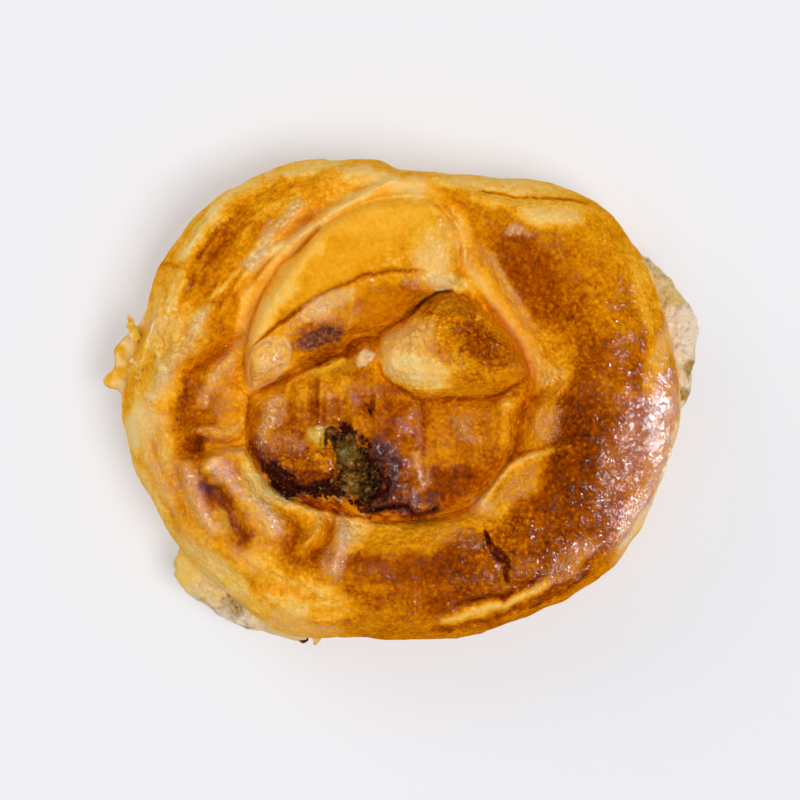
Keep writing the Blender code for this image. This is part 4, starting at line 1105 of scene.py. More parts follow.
def paint(fields, column, row, seen):
    """Paints the blotches, wrinkles and lines of the tables into the fields, in order. Each blotch
    is a turned ellipse with a soft, uneven edge. Where its cover is 1 the field takes its level."""
    jog = [waves(column, row, 0, table) for table in JITTER]
    x, y = column + jog[0], row + jog[1]
    for field, blotches in BLOTCHES.items():
        for level, cover, middle, line, length, width, turn in blotches.values():
            cos, sin = np.cos(np.radians(turn)), np.sin(np.radians(turn))
            dx, dy = x - middle, line - y
            far = np.hypot((dx * cos + dy * sin) / length, (dy * cos - dx * sin) / width)
            share = cover / 100 * seen * ease((1.4 - far) / 0.8)
            fields[field] += (level / 100 - fields[field]) * share
    for rise, width, frost_and_sheen, *points in WRINKLES.values():
        near, share, _ = near_line(x, y, pairs(points), 3 * width / PIXEL)
        share = seen * tapered(share)
        # Grooves are painted browner as painted shade, ridges paler as painted light, and frosted ridges get
        # bloom with painted sheen
        fields["bake"] -= share * GROOVE_BAKE_AND_SHADE * WRINKLE_GAIN * rise * bell(near * PIXEL, width)
        ridge_frost_and_sheen = frost_and_sheen * share * bell(near * PIXEL, FROST_AND_SHEEN_REACH * width)
        fields["film"] = np.maximum(fields["film"], ridge_frost_and_sheen)
    x, y = column + LINE_JITTER * jog[0], row + LINE_JITTER * jog[1]
    for field, lines in LINES.items():
        for level, cover, width, *points in lines.values():
            near, share, _ = near_line(x, y, pairs(points), 3 * width)
            share = cover / 100 * seen * bell(near, width) * tapered(share, 8)
            fields[field] += (level / 100 - fields[field]) * share


def outer_turn(sizes):
    """The outer turn as one closed ring of rows round the hub: inner wall, top, side, underside.
    On the side, t down from 0 to 90 degrees, the radius loses inset * (1 - cos t) and the height
    is the rim's * (1 - sin t). Gives places, push directions, the flow of the streaks, how far it
    is seen, bake and faces."""
    angle = np.linspace(-np.pi, np.pi, AROUND, endpoint=False)[None, :]
    crease, rim_reach = reach(angle, CREASE), reach(angle, RIM)
    crown, rim = sizes.ring_crown * 1000, sizes.rim_height * 1000
    share = 0.5 - 0.5 * np.cos(np.pi * np.linspace(0, 1, TOP_ROWS))[:, None]
    z, lean = outer_turn_height(angle + 0 * share, share + 0 * angle, crown, rim)
    flat = np.sqrt(1 - lean**2)
    top = polar(crease + (rim_reach - crease) * share, angle, z)
    top[..., 2] += fold_relief(top[..., 0], top[..., 1]) * flat
    top_push = np.stack([lean * np.cos(angle), lean * np.sin(angle), flat], -1)

    down = np.radians(np.linspace(0, 90, SIDE_ROWS + 1))[1:, None]
    away = stacked(np.cos(angle), np.sin(angle), 0)
    side = top[-1:] - (BASE_INSET * (1 - np.cos(down)))[..., None] * away
    side[..., 2] = top[-1:, :, 2] * (1 - np.sin(down))
    side_push = away * np.cos(down)[..., None]

    inwards = np.linspace(0, 1, UNDER_ROWS + 2)[1:-1, None]
    radius = (rim_reach - BASE_INSET) * (1 - inwards) + (crease + 0.5) * inwards
    under = polar(radius, angle, 1.2 * bell(1 - inwards, 0.15))
    climb = np.linspace(0, 1, WALL_ROWS + 1)[:-1, None]
    x, y, z = np.moveaxis(top[:1], -1, 0)
    wall = stacked(x, y, WALL_FOOT + (z - WALL_FOOT) * climb)

    parts = (wall, top, side, under)
    places = np.concatenate(parts)
    push = np.concatenate([0 * wall, top_push, side_push, 0 * under])
    seen, across = [
        np.concatenate([value + np.zeros(part.shape[:2]) for value, part in zip(values, parts)])
        for values in (
            (1, 1, ease(1.3 - np.degrees(down) / 50), 0),
            (0, share * TOP_GIRTH, TOP_GIRTH + SIDE_GIRTH * down, UNDER_GIRTH),
        )
    ]
    turns, *columns = np.array(BAKED_TURN).T
    inner, crown_bake, shoulder, rim_bake = [
        np.interp(np.degrees(angle[0]), turns, column, period=360) for column in columns]
    stops = np.array([inner, inner, crown_bake, shoulder, rim_bake, 0.8 * rim_bake + 0.06,
                      0 * inner + SIDE_BAKE, 0 * inner + UNDER_BAKE])
    bake = np.empty(across.shape)
    for start, end, first, last in zip(BAKE_MARKS, BAKE_MARKS[1:], stops, stops[1:]):
        inside = (across >= start) & (across <= end)
        bake = np.where(inside, first + (last - first) * ((across - start) / (end - start)), bake)
    flow = stacked(STREAK_RING * np.cos(angle), STREAK_RING * np.sin(angle), across)
    numbers = np.arange(across.size).reshape(across.shape)
    numbers = wrapped(np.vstack([numbers, numbers[:1]]))
    return places, push, flow, seen, bake, [quads(numbers)[:, ::-1]]


def inner_turn(sizes):
    """The lobes inside the crease as one closed cushion: a disc grid on top, a wall down its
    edge, and rows that close the underside at the hub. Their floor rises to the crease's height as
    level^6. Along the crease a Gaussian takes the lobes down to it, and inside the burst they sag
    and fall by smooth steps of the depth. Gives the same as outer_turn()."""
    level, angle = disc(DISC)
    crease = reach(angle, CREASE)
    top = polar(crease * level, angle, 0)
    x, y = top[..., 0], top[..., 1]
    crease_height = turn_sizes(angle, sizes.ring_crown * 1000, sizes.rim_height * 1000)[2]
    floor = CREASE_FLOOR + (crease_height - CREASE_FLOOR) * level**6
    z, lobe = middle_height(x, y, floor, lobe_list(sizes))
    z = z - (z - floor) * bell((1 - level) * crease, CREASE_WIDTH) + fold_relief(x, y)
    depth = depth_in(x, y, from_photo(BURST_EDGE))
    z = z - SAG * ease(0.5 + (depth + waves(x, y, 0, TORN_RIM)) / SAG_WIDTH)
    top[..., 2] = z - PIT_DEPTH * ease((depth - PIT_EDGE) / PIT_SLOPE)

    edge = edge_of(top)
    fall = np.linspace(0, 1, WALL_ROWS + 1)[1:, None, None]
    wall = edge[None] * (1 - fall) + fall * (edge * (1, 1, 0) + (0, 0, WALL_FOOT))
    closing = np.linspace(0, 1, UNDER_ROWS + 1)[:-1, None, None]
    hub = np.array([*HUB, 0])
    under = hub + (edge * (1, 1, 0) - hub) * (1 - closing) * 0.99
    under[..., 2] = 0
    places = np.vstack([top.reshape(-1, 3), wall.reshape(-1, 3), under.reshape(-1, 3), hub])

    count = DISC * DISC
    numbers = np.arange(count).reshape(DISC, DISC)
    rows = count + np.arange((WALL_ROWS + UNDER_ROWS) * len(edge)).reshape(-1, len(edge))
    rows = wrapped(np.vstack([edge_of(numbers), rows]))
    faces = [quads(numbers), quads(rows)[:, ::-1], fan(len(places) - 1, rows[-1])[:, ::-1]]
    push = np.zeros(places.shape)
    push[:count, 2] = 1
    seen = np.zeros(len(places))
    seen[:count + WALL_ROWS * len(edge)] = 1
    bake = np.full(len(places), UNDER_BAKE)
    bake[:count] = np.array(LOBE_BAKE)[lobe.ravel()]
    return places, push, places[:, (1, 2, 0)] * (1, 0, 1), seen, bake, faces


def creased(wave):
    """Ripples folded at their middle into sharp ridges."""
    return 0.7 - 2 * abs(wave)


def finish_crust(places, push, flow, fields, amount):
    """Roughens a crust along its push directions: the two sizes of unevenness that the solid has,
    fine streaks along the rope, blisters of two sizes, and grain. Char crackles, and the tops of
    its crackle get bloom with painted sheen."""
    x, y, z = np.moveaxis(places, -1, 0)
    sx, sy, across = np.moveaxis(flow, -1, 0)
    rough, film, char, strand = [fields[name] for name in ("rough", "film", "char", "strand")]
    streak = 1 - 2 * abs(
        ripples(sx / STREAK_LENGTH, sy / STREAK_LENGTH, across / STREAK_WIDTH, 1.0, 3))
    crumple = sum(height * creased(ripples(x, y, z, size, seed)) for height, size, seed in CRUMPLES)
    bubbles = bubbled(x, y, BUBBLES)
    fine = (0.04 + 0.3 * rough + 0.5 * strand) * streak
    fine = fine + rough * (1.2 * bubbles + 1.2 * waves(x, y, z, GRAIN) + 1.1 * crumple)
    fine = fine + (0.5 * rough + 1.5 * film) * bubbled(x, y, SPECKS)
    fine = fine * (0.25 + 0.75 * push[..., 2])
    crackle = 0.8 - 1.8 * abs(ripples(x, y, z, 1.3, 14)) + 0.5 * ripples(x, y, z, 0.7, 15)
    fine += 0.45 * char * crackle
    # Painted sheen on the tops of the char's crackle
    fields["film"] = np.maximum(film, 0.45 * ease(char * 2) * ease(crackle))
    fields["char"] = char - 0.25 * ease(crackle / 0.8) * char
    fields["bake"] += 0.06 * rough * (bubbles / 0.35 - 0.25) - 0.18 * strand * (streak - 0.1)
    return places + push * (amount * (waves(x, y, z, UNEVEN) + fine))[..., None]


def crust_piece(context, name, places, push, flow, seen, bake, faces):
    """A piece of crust: its fields painted, its surface roughened, and its fields stored. The egg
    wash was brushed on from above, so its gloss fades where the crust turns down, as flour does
    low on the side. The blister's edge is pale and its skin bloomed, with painted sheen, and the
    split opens."""
    fields = {field: np.full(bake.shape, START.get(field, 0.0)) for field in FIELDS}
    fields["bake"] = bake.copy()
    x, y, z = np.moveaxis(places, -1, 0)
    column, row = x / PIXEL + PHOTO_CENTRE[0], PHOTO_CENTRE[1] - y / PIXEL
    paint(fields, column, row, seen)
    fields["pale"] *= ease((z - 4 + 2 * ripples(column, row, 0, 12, 61)) / 7)
    fields["glaze"] *= ease(1.5 * push[..., 2] + fields["glaze"] - 0.6)
    depth = depth_in(x, y, from_photo(BLISTER))
    fields["pale"] = np.maximum(fields["pale"], seen * 0.7 * bell(depth - 0.25, 0.4))
    fields["film"] = np.maximum(fields["film"], seen * 0.5 * ease(depth / 0.8))
    near, share, _ = near_line(x, y, SPLIT, 3)
    half = 0.45 + 0.95 * np.sin(np.pi * share) ** 2
    split = seen * ease((half - near + 0.3 * ripples(column, row, 0, 4, 51)) / 0.35)
    places = finish_crust(places, push, flow, fields, context.scene.placinta_sizes.roughness)
    places = places - push * (SPLIT_DEPTH * split)[..., None]
    fields["bake"] += (0.98 - fields["bake"]) * split
    fields["film"] *= 1 - split
    mesh = new_mesh(name, places.reshape(-1, 3), *faces)
    store(mesh, **fields)
    show(context, mesh, crust_material)


def cushion(outline, count, top, bottom):
    """A closed cushion over an outline: a disc grid for its top and one for its bottom, which
    share their edge. top and bottom give heights from x, y and level."""
    loop = smooth(outline, closed=True, step=1.0)
    centre = loop.mean(0)
    level, angle = disc(count)
    radius = radius_at(angle, loop - centre)
    x = centre[0] + level * radius * np.cos(angle)
    y = centre[1] + level * radius * np.sin(angle)
    upper, lower = stacked(x, y, top(x, y, level)), stacked(x, y, bottom(x, y, level))
    edge = level > 1 - 1e-9
    upper[edge, 2] = (upper[edge, 2] + lower[edge, 2]) / 2
    numbers = np.arange(count * count).reshape(count, count)
    below = numbers.copy()
    below[1:-1, 1:-1] = count * count + np.arange((count - 2) ** 2).reshape(count - 2, -1)
    places = np.vstack([upper.reshape(-1, 3), lower[1:-1, 1:-1].reshape(-1, 3)])
    return places, quads(numbers), quads(below)[:, ::-1]


def pillow(outline, count, middle, half, lowest=-np.inf):
    """A cushion that is as thick above a middle height as below it, down to a lowest height. half
    gives half its thickness, which falls to 0 at its edge as sqrt(1 - level^4)."""
    def rounded(x, y, level):
        return half(x, y) * np.sqrt(np.maximum(1 - level**4, 0))

    return cushion(outline, count, lambda *place: middle + rounded(*place),
                   lambda *place: np.maximum(middle - rounded(*place), lowest))


def capped(rings, first, last):
    """A tube through rows of rings, closed by a fan to a point at each end."""
    count = rings[..., 0].size
    numbers = wrapped(np.arange(count).reshape(rings.shape[:2]))
    caps = np.vstack([fan(count, numbers[0]), fan(count + 1, numbers[-1])[:, (0, 2, 1)]])
    return np.vstack([rings.reshape(-1, 3), first, last]), quads(numbers)[:, ::-1], caps


def tongue(root, tip, widths, heights, thickness, seed):
    """A torn flake: a flat closed tube from root to tip. Its rings are ellipses that narrow from
    the first width to the second, with edges torn by noise, and it droops as the square of the
    way along."""
    rows, sides = 15, 20
    share = np.linspace(0, 1, rows)[:, None]
    ahead = np.array(tip, float) - root
    across = np.array([-ahead[1], ahead[0]]) / np.hypot(*ahead)
    turn = (2 * np.pi * np.arange(sides) / sides)[None, :]
    end = swell((1 - share) / 0.25 + 0.02, 2)
    half = (widths[0] + (widths[1] - widths[0]) * share) / 2 * end
    tear = 1 + 0.45 * ripples(7 * share, 2 * np.cos(turn), 0, 1.0, seed)
    off = half * tear * np.cos(turn)
    lift = heights[0] + (heights[1] - heights[0]) * share**2
    wave = 0.5 * ripples(4 * share, 0.5 * off, 0, 1.0, seed + 1)
    z = lift + wave + thickness / 2 * end * (1 - 0.5 * share) * np.sin(turn)
    way = share + 0.12 * ripples(off, 0, 0, 1.2, seed + 2) * share
    rings = stacked(root[0] + ahead[0] * way + across[0] * off,
                    root[1] + ahead[1] * way + across[1] * off, z)
    return capped(rings, rings[0].mean(0), rings[-1].mean(0))


def tube(path, radius, sides):
    """A closed round tube along a level path, with its ends drawn to points."""
    ahead = np.gradient(path, axis=0)
    ahead /= np.linalg.norm(ahead, axis=1, keepdims=True)
    level = np.column_stack([ahead[:, 1], -ahead[:, 0], 0 * radius])
    turn = (2 * np.pi * np.arange(sides) / sides)[None, :, None]
    rings = path[:, None] + radius[:, None, None] * (
        np.cos(turn) * level[:, None] + np.sin(turn) * np.array([0, 0, 1]))
    return capped(rings, path[:1], path[-1:])


def outward(places, *face_groups):
    """The faces turned so that the closed shape's volume is above 0."""
    volume = 0
    for group in face_groups:
        a, b, c = places[group[:, 0]], places[group[:, 1]], places[group[:, 2]]
        volume += (a * np.cross(b, c)).sum()
        if group.shape[1] == 4:
            volume += (a * np.cross(c, places[group[:, 3]])).sum()
    return [group if volume > 0 else group[:, ::-1] for group in face_groups]


def gathered(*shapes):
    """Several closed shapes as one: their places, four-sided faces and triangles."""
    places, four, three, start = [], [], [], 0
    for shape in shapes:
        for group in outward(*shape):
            (four if group.shape[1] == 4 else three).append(group + start)
        places.append(shape[0])
        start += len(shape[0])
    faces = [np.vstack(four)] + ([np.vstack(three)] if three else [])
    return np.vstack(places), faces


def linear(code):
    """The linear colour of an sRGB hex value."""
    share = np.array([int(code[k:k + 2], 16) for k in (1, 3, 5)]) / 255
    return tuple(np.where(share <= 0.04045, share / 12.92, ((share + 0.055) / 1.055) ** 2.4))


def node(tree, kind, inputs=(), out=0, stops=(), **settings):
    """Adds a node, sets its settings and a ramp's stops, gives its inputs values or links them to
    sockets, and returns one output."""
    made = tree.nodes.new("ShaderNode" + kind)
    for name, value in settings.items():
        setattr(made, name, value)
    for key, value in inputs.items() if isinstance(inputs, dict) else enumerate(inputs):
        if isinstance(value, bpy.types.NodeSocket):
            tree.links.new(value, made.inputs[key])
        else:
            made.inputs[key].default_value = value
    if stops:
        elements = made.color_ramp.elements
        while len(elements) < len(stops):
            elements.new(0.5)
        for element, (place, colour) in zip(elements, stops):
            element.position = place
            element.color = (*colour, 1)
    return made.outputs[out] if len(made.outputs) else made


def empty_material(name):
    """A material without nodes, and what adds nodes to it."""
    made = bpy.data.materials.new(name)
    made.use_nodes = True
    made.node_tree.nodes.clear()
    return made, functools.partial(node, made.node_tree)


def stirred(add, value, pattern, scale):
    """value + scale * (pattern - 0.5): a pattern of 0 to 1 stirred into a value."""
    centred = add("Math", (pattern, -0.5), operation="ADD")
    return add("Math", (centred, scale, value), operation="MULTIPLY_ADD")


CRUST, POTATO = "egg-washed baked dough", "browned mashed potato"

# Noise in the crust's colour, gloss and bump: size in millimetres, detail and roughness. The
# mottles are the heat's, the patches and specks those of the finest blisters, which are drawn a
# little coarser than they are, so that they show. The painted glints are pale dots of painted
# highlight
CRUST_NOISE = {
    "mottle": (5.0, 4.0, 0.55), "patch": (1.8, 4.0, 0.6), "speck": (0.9, 3.0, 0.6),
    "painted_glint": (0.8, 2.0, 0.5), "wrinkle": (3.2, 3.0, 0.5),
}
POTATO_NOISE = {"crumb": (2.2, 3.0, 0.55), "fine": (0.8, 4.0, 0.65)}
BUBBLE_SIZE = 1.2

# Ragged layers over the baked colour: how much specks and patches break it up, the levels where
# it starts and is whole, and how thick it then is
LAYERS = {
    "film": (3.4, 2.4, 0.34, 0.84, 0.65), "pale": (1.4, 1.8, 0.12, 0.85, 0.9),
    "butter": (1.2, 1.5, 0.10, 0.90, 0.9), "char": (1.0, 1.8, 0.30, 0.65, 1.0),
}


def crust_material(colours):
    """Thin wheat dough, brushed with egg and baked: browned in mottles by the heat, with a
    thin hard gloss where the egg dried, dull and floury where it was missed, and char at the tear.
    A pinkish painted sheen and pale dots of painted highlight stand for the shine of fine blisters."""
    made, add = empty_material(CRUST)
    place = add("TexCoord", out="Object")
    field = {name: add("Attribute", out="Fac", attribute_name=name) for name in FIELDS}
    mottle, patch, speck, painted_glint, wrinkle = [
        add("TexNoise", {"Vector": place, "Scale": 1000 / size, "Detail": detail, "Roughness": rough})
        for size, detail, rough in CRUST_NOISE.values()]
    bubble = add("TexVoronoi", {"Vector": place, "Scale": 1000 / BUBBLE_SIZE, "Randomness": 1.0})
    dot = add("MapRange", {"Value": bubble, "From Min": 0.5, "From Max": 0.1})
    lit = add("Math", (dot, field["rough"]), operation="MULTIPLY")

    spots = 0.0
    for pattern, scale in ((mottle, 0.45), (patch, 0.5), (speck, 0.45)):
        spots = stirred(add, spots, pattern, scale)
    strong = add("Math", (field["rough"], 1.0, 0.3), operation="MULTIPLY_ADD")
    even = add("MapRange", {
        "Value": field["bake"], "From Min": 0.55, "To Min": 1.0, "To Max": 0.5})
    spots = add("Math", (spots, even), operation="MULTIPLY")
    bake = add("Math", (spots, strong, field["bake"]), operation="MULTIPLY_ADD")
    bake = add("Math", (lit, -0.2, bake), operation="MULTIPLY_ADD")
    shade = add("ValToRGB", {"Fac": bake}, stops=[
        (0.00, colours.raw), (0.16, colours.cream), (0.30, colours.golden),
        (0.46, colours.orange), (0.62, colours.amber), (0.76, colours.brown),
        (0.88, colours.dark), (1.00, colours.burnt),
    ])
    ragged = {}
    for name, (fine, coarse, low, high, most) in LAYERS.items():
        pattern = stirred(add, stirred(add, 1.0, speck, fine), patch, coarse)
        cover = add("Math", (field[name], pattern), operation="MULTIPLY")
        ragged[name] = add("MapRange", {
            "Value": cover, "From Min": low, "From Max": high, "To Max": most})
    burn = add("ValToRGB", {"Fac": field["char"]}, stops=[
        (0.3, colours.violet), (0.75, colours.char)])
    # Painted glints: pale dots of painted highlight on the browned crust, thickest where the bloom and sheen
    # are
    painted_glints = add("MapRange", {
        "Value": stirred(add, painted_glint, field["film"], 0.3), "From Min": 0.63, "From Max": 0.74,
        "To Max": 0.8})
    browned = add("MapRange", {"Value": field["bake"], "From Min": 0.3, "From Max": 0.6})
    painted_glints = add("Math", (painted_glints, browned), operation="MULTIPLY")
    glint = add("Mix", {
        "Factor": field["film"], 6: (*colours.golden, 1), 7: (*colours.painted_glint, 1),
    }, out=2, data_type="RGBA")
    for share, above in (
        (ragged["butter"], (*colours.butter, 1)), (ragged["pale"], (*colours.pale, 1)),
        (ragged["film"], (*colours.film, 1)), (ragged["char"], burn), (painted_glints, glint),
    ):
        shade = add("Mix", {"Factor": share, 6: shade, 7: above}, out=2, data_type="RGBA")

    gloss = add("Math", (field["film"], 0.5, field["glaze"]), operation="MULTIPLY_ADD")
    glaze = add("MapRange", {
        "Value": stirred(add, gloss, patch, 2.0), "From Min": 0.3, "From Max": 1.1})
    dull = add("MapRange", {
        "Value": stirred(add, field["rough"], patch, 0.6), "To Min": 0.34, "To Max": 0.55})
    froth = add("Math", (field["film"], 0.9, 0.35), operation="MULTIPLY_ADD")
    froth = add("Math", (speck, froth), operation="MULTIPLY")
    domes = add("Math", (lit, 0.35, froth), operation="MULTIPLY_ADD")
    domes = stirred(add, domes, patch, 0.4)
    fold = add("Math", (wrinkle, 0.5), operation="SUBTRACT")
    fold = add("Math", (fold,), operation="ABSOLUTE")
    fold = add("MapRange", {"Value": fold, "From Max": 0.10, "To Min": 0.4, "To Max": 0.0})
    domes = add("Math", (fold, field["rough"], domes), operation="MULTIPLY_ADD")
    bump = add("Bump", {"Strength": 1.0, "Distance": 0.0007, "Height": domes})
    shader = add("BsdfPrincipled", {
        "Base Color": shade, "Roughness": dull, "IOR": 1.45, "Specular IOR Level": 0.0,
        "Normal": bump, "Coat Weight": glaze, "Coat Roughness": 0.11, "Coat IOR": 1.5,
        "Coat Normal": bump,
    })
    add("OutputMaterial", {"Surface": shader})
    return made


def potato_material(colours):
    """Mashed potato, browned by the oven: moist, uneven and matt, darker where it dried out."""
    made, add = empty_material(POTATO)
    place = add("TexCoord", out="Object")
    tone, green, crisp = [
        add("Attribute", out="Fac", attribute_name=name) for name in ("tone", "green", "crisp")]
    crumb, fine = [
        add("TexNoise", {"Vector": place, "Scale": 1000 / size, "Detail": detail, "Roughness": rough})
        for size, detail, rough in POTATO_NOISE.values()]
    tone = stirred(add, stirred(add, tone, crumb, 0.8), fine, 0.7)
    shade = add("ValToRGB", {"Fac": tone}, stops=[
        (0.0, colours.potato_burnt), (0.3, colours.potato_brown), (0.6, colours.potato),
        (1.0, colours.potato_pale),
    ])
    for share, above in (
        (stirred(add, green, crumb, 0.5), colours.potato_green),
        (stirred(add, crisp, fine, 1.2), colours.potato_crisp),
    ):
        shade = add("Mix", {"Factor": share, 6: shade, 7: (*above, 1)}, out=2, data_type="RGBA")
    bump = add("Bump", {"Strength": 1.0, "Distance": 0.0008, "Height": fine})
    shader = add("BsdfPrincipled", {
        "Base Color": shade, "Roughness": 0.35, "IOR": 1.4, "Specular IOR Level": 0.06,
        "Normal": bump, "Subsurface Weight": 0.1,
        "Subsurface Radius": (1.0, 0.7, 0.35), "Subsurface Scale": 0.0015,
    })
    add("OutputMaterial", {"Surface": shader})
    return made


def table_material(colours):
    """A matt white table that is lit from below, so that shadows on it stay pale."""
    made, add = empty_material("lit white acrylic table")
    shader = add("BsdfPrincipled", {
        "Base Color": (*colours.board, 1), "Roughness": 0.9, "Specular IOR Level": 0.0,
        "Emission Color": (1, 1, 1, 1), "Emission Strength": TABLE_GLOW})
    add("OutputMaterial", {"Surface": shader})
    return made


# For each maker of a material its name, the record's slot, and the node that its pieces replace
STANDS_FOR = {
    crust_material: (CRUST, "baked_dough", DOUGH_NODE),
    potato_material: (POTATO, "potato_filling", FILLING_NODE),
}


def show(context, mesh, maker):
    """Puts a mesh in the scene as a piece that rides on the body and stands for its node."""
    name, slot, *nodes = STANDS_FOR[maker]
    obj = bpy.data.objects.new(mesh.name, mesh)
    context.scene.collection.objects.link(obj)
    mesh.materials.append(bpy.data.materials.get(name) or maker(context.scene.placinta_colours))
    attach(obj, "root")
    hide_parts(*nodes)


def height_property(name, default, description, low=0.02, high=0.05):
    """A height in metres."""
    return bpy.props.FloatProperty(
        name=name, description=description, default=default, min=low, max=high,
        subtype="DISTANCE", unit="LENGTH")


class PlacintaSizes(bpy.types.PropertyGroup):
    """Heights of the turns above the surface that the coil rests on, and of the details"""

    ring_crown: height_property("Outer turn", 0.033, "Height of the outer turn's crown")
    rim_height: height_property(
        "Widest level", 0.013, "Height of the outer turn's widest outline", 0.005, 0.02)
    band_crown: height_property("Band", 0.034, "Height of the inner turn's band")
    nugget_crown: height_property("Inner end", 0.036, "Height of the rope's inner end")
    left_lump_crown: height_property("Left lump", 0.0315, "Height of the lump that burst")
    right_lump_crown: height_property("Right lump", 0.0295, "Height of the lump at the right")
    roughness: bpy.props.FloatProperty(
        name="Unevenness", description="How strong the crust's uneven relief is", default=1.0,
        min=0.0, max=2.0, subtype="FACTOR")


def colour_property(name, code, description):
    """A colour, from its sRGB hex value."""
    return bpy.props.FloatVectorProperty(
        name=name, description=description, default=linear(code), min=0, max=1, size=3,
        subtype="COLOR")


class PlacintaColours(bpy.types.PropertyGroup):
    """Colours of the dough from raw to burnt, of what lies on it, and of the filling"""

    raw: colour_property("Raw", "#f6d690", "Dough that the heat hardly reached")
    cream: colour_property("Cream", "#fac45c", "Palest baked dough")
    golden: colour_property("Golden", "#fab02a", "Lightly baked dough")
    orange: colour_property("Orange", "#ea9606", "Dough baked through")
    amber: colour_property("Amber", "#ce7602", "Well baked dough")
    brown: colour_property("Brown", "#a84c00", "Browned crowns")
    dark: colour_property("Dark", "#7e3200", "The deepest brown")
    burnt: colour_property("Burnt", "#451206", "Burnt edges")
    butter: colour_property("Butter", "#d8ac24", "Greasy yellow layers")
    # The bloom of fine blisters: a pinkish tint that is partly painted sheen
    pale: colour_property("Floury", "#f6d08c", "Floury dull dough")
    film: colour_property("Bloom", "#e8a468", "Fine blisters that catch the light")
    # Painted glints: the pale dots that stand for highlights on the finest blisters
    painted_glint: colour_property("Flecks", "#fce0bc", "The pale tops of the finest blisters")
    violet: colour_property("Thin char", "#7c4a42", "Blistered dough that is just charred")
    char: colour_property("Char", "#3a1208", "Charred dough")
    potato_burnt: colour_property("Burnt filling", "#260c04", "Filling that burnt")
    potato_brown: colour_property("Brown filling", "#66340a", "Filling that browned")
    potato: colour_property("Filling", "#aa7a30", "Moist potato filling")
    potato_pale: colour_property("Pale filling", "#ffe6c6", "Filling that dried pale")
    potato_green: colour_property("Greenish filling", "#6a5a1c", "Filling with herbs and oil")
    potato_crisp: colour_property("Crisp filling", "#f8cc60", "Filling that baked crisp and yellow")
    board: colour_property("Table", "#bfbfc1", "The table below")


class PLACINTA_OT_outer_turn(bpy.types.Operator):
    """Make the outer turn of the coil with its tail"""

    bl_idname = "placinta.outer_turn"
    bl_label = "Outer turn"

    def execute(self, context):
        crust_piece(context, "outer_turn", *outer_turn(context.scene.placinta_sizes))
        return {"FINISHED"}


class PLACINTA_OT_inner_turn(bpy.types.Operator):
    """Make the band, the inner end and the two lumps inside the outer turn"""

    bl_idname = "placinta.inner_turn"
    bl_label = "Inner turn"

    def execute(self, context):
        crust_piece(context, "inner_turn", *inner_turn(context.scene.placinta_sizes))
        return {"FINISHED"}


class PLACINTA_OT_flakes(bpy.types.Operator):
    """Make the torn flakes of dough"""

    bl_idname = "placinta.flakes"
    bl_label = "Torn flakes"

    def execute(self, context):
        sizes = context.scene.placinta_sizes
        crown, rim = sizes.ring_crown * 1000, sizes.rim_height * 1000
        lobes = lobe_list(sizes)

        def ring(ends):
            return ring_height(*ends.T, crown, rim)

        def middle(ends):
            return middle_height(*ends.T, CREASE_FLOOR, lobes)[0]

        shapes, bakes = [], []
        for table, crust, seed in ((FLAKES, ring, 60), (SHREDS, middle, 160)):
            for k, (root, tip, widths, lifts, thickness, baked) in enumerate(table.values()):
                ends = from_photo([root, tip])
                heights = crust(ends) + lifts
                shapes.append(tongue(*ends, widths, heights, thickness, seed + 3 * k))
                bakes.append(baked)
        draw = np.random.default_rng(SHRED_SEED)
        edge = smooth(from_photo(BURST_EDGE), closed=True, step=SHRED_SPACING)
        for k, root in enumerate(edge[edge[:, 0] > SHREDS_START]):
            root = root + draw.normal(0.2, 0.35, 2)
            ends = np.array([root, root + (-1.0 - 1.4 * draw.random(), 0.8 - 2.2 * draw.random())])
            shapes.append(tongue(*ends, (1.2, 0.5), middle(ends) - (0.4, 1.3), 0.6, 200 + 3 * k))
            bakes.append(draw.choice([0.93, 1.0]))
        for level, thickness, baked, outline in FRINGES.values():
            shapes.append(pillow(
                from_photo(outline), FRINGE_DISC, level,
                lambda x, y: thickness / 2 + 0.4 * ripples(x / 6, y / 1.2, 0, 1.0, 63)
                + 0.2 * ripples(x, y, 0, 2.0, 64)))
            bakes.append(baked)
        places, faces = gathered(*shapes)
        patches = waves(*places.T, LEAF_PATCHES)
        bake = np.concatenate([np.full(len(shape[0]), level) for shape, level in zip(shapes, bakes)])
        mesh = new_mesh("torn_flakes", places, *faces)
        store(
            mesh, bake=bake + 0.14 * patches, butter=(0.25 + 0.6 * patches) * (bake < 0.35),
            pale=(0.35 - 0.8 * patches) * (bake < 0.35), char=(0.7 + 0.5 * patches) * (bake > 0.9),
            film=0.0, rough=0.0, glaze=0.0, strand=0.0)
        show(context, mesh, crust_material)
        return {"FINISHED"}


def near_place(x, y, place, radius, far):
    """1 at a place, easing to 0 between far - 1 and far times the radius from it."""
    return ease(far - np.hypot(x - place[0], y - place[1]) / radius)


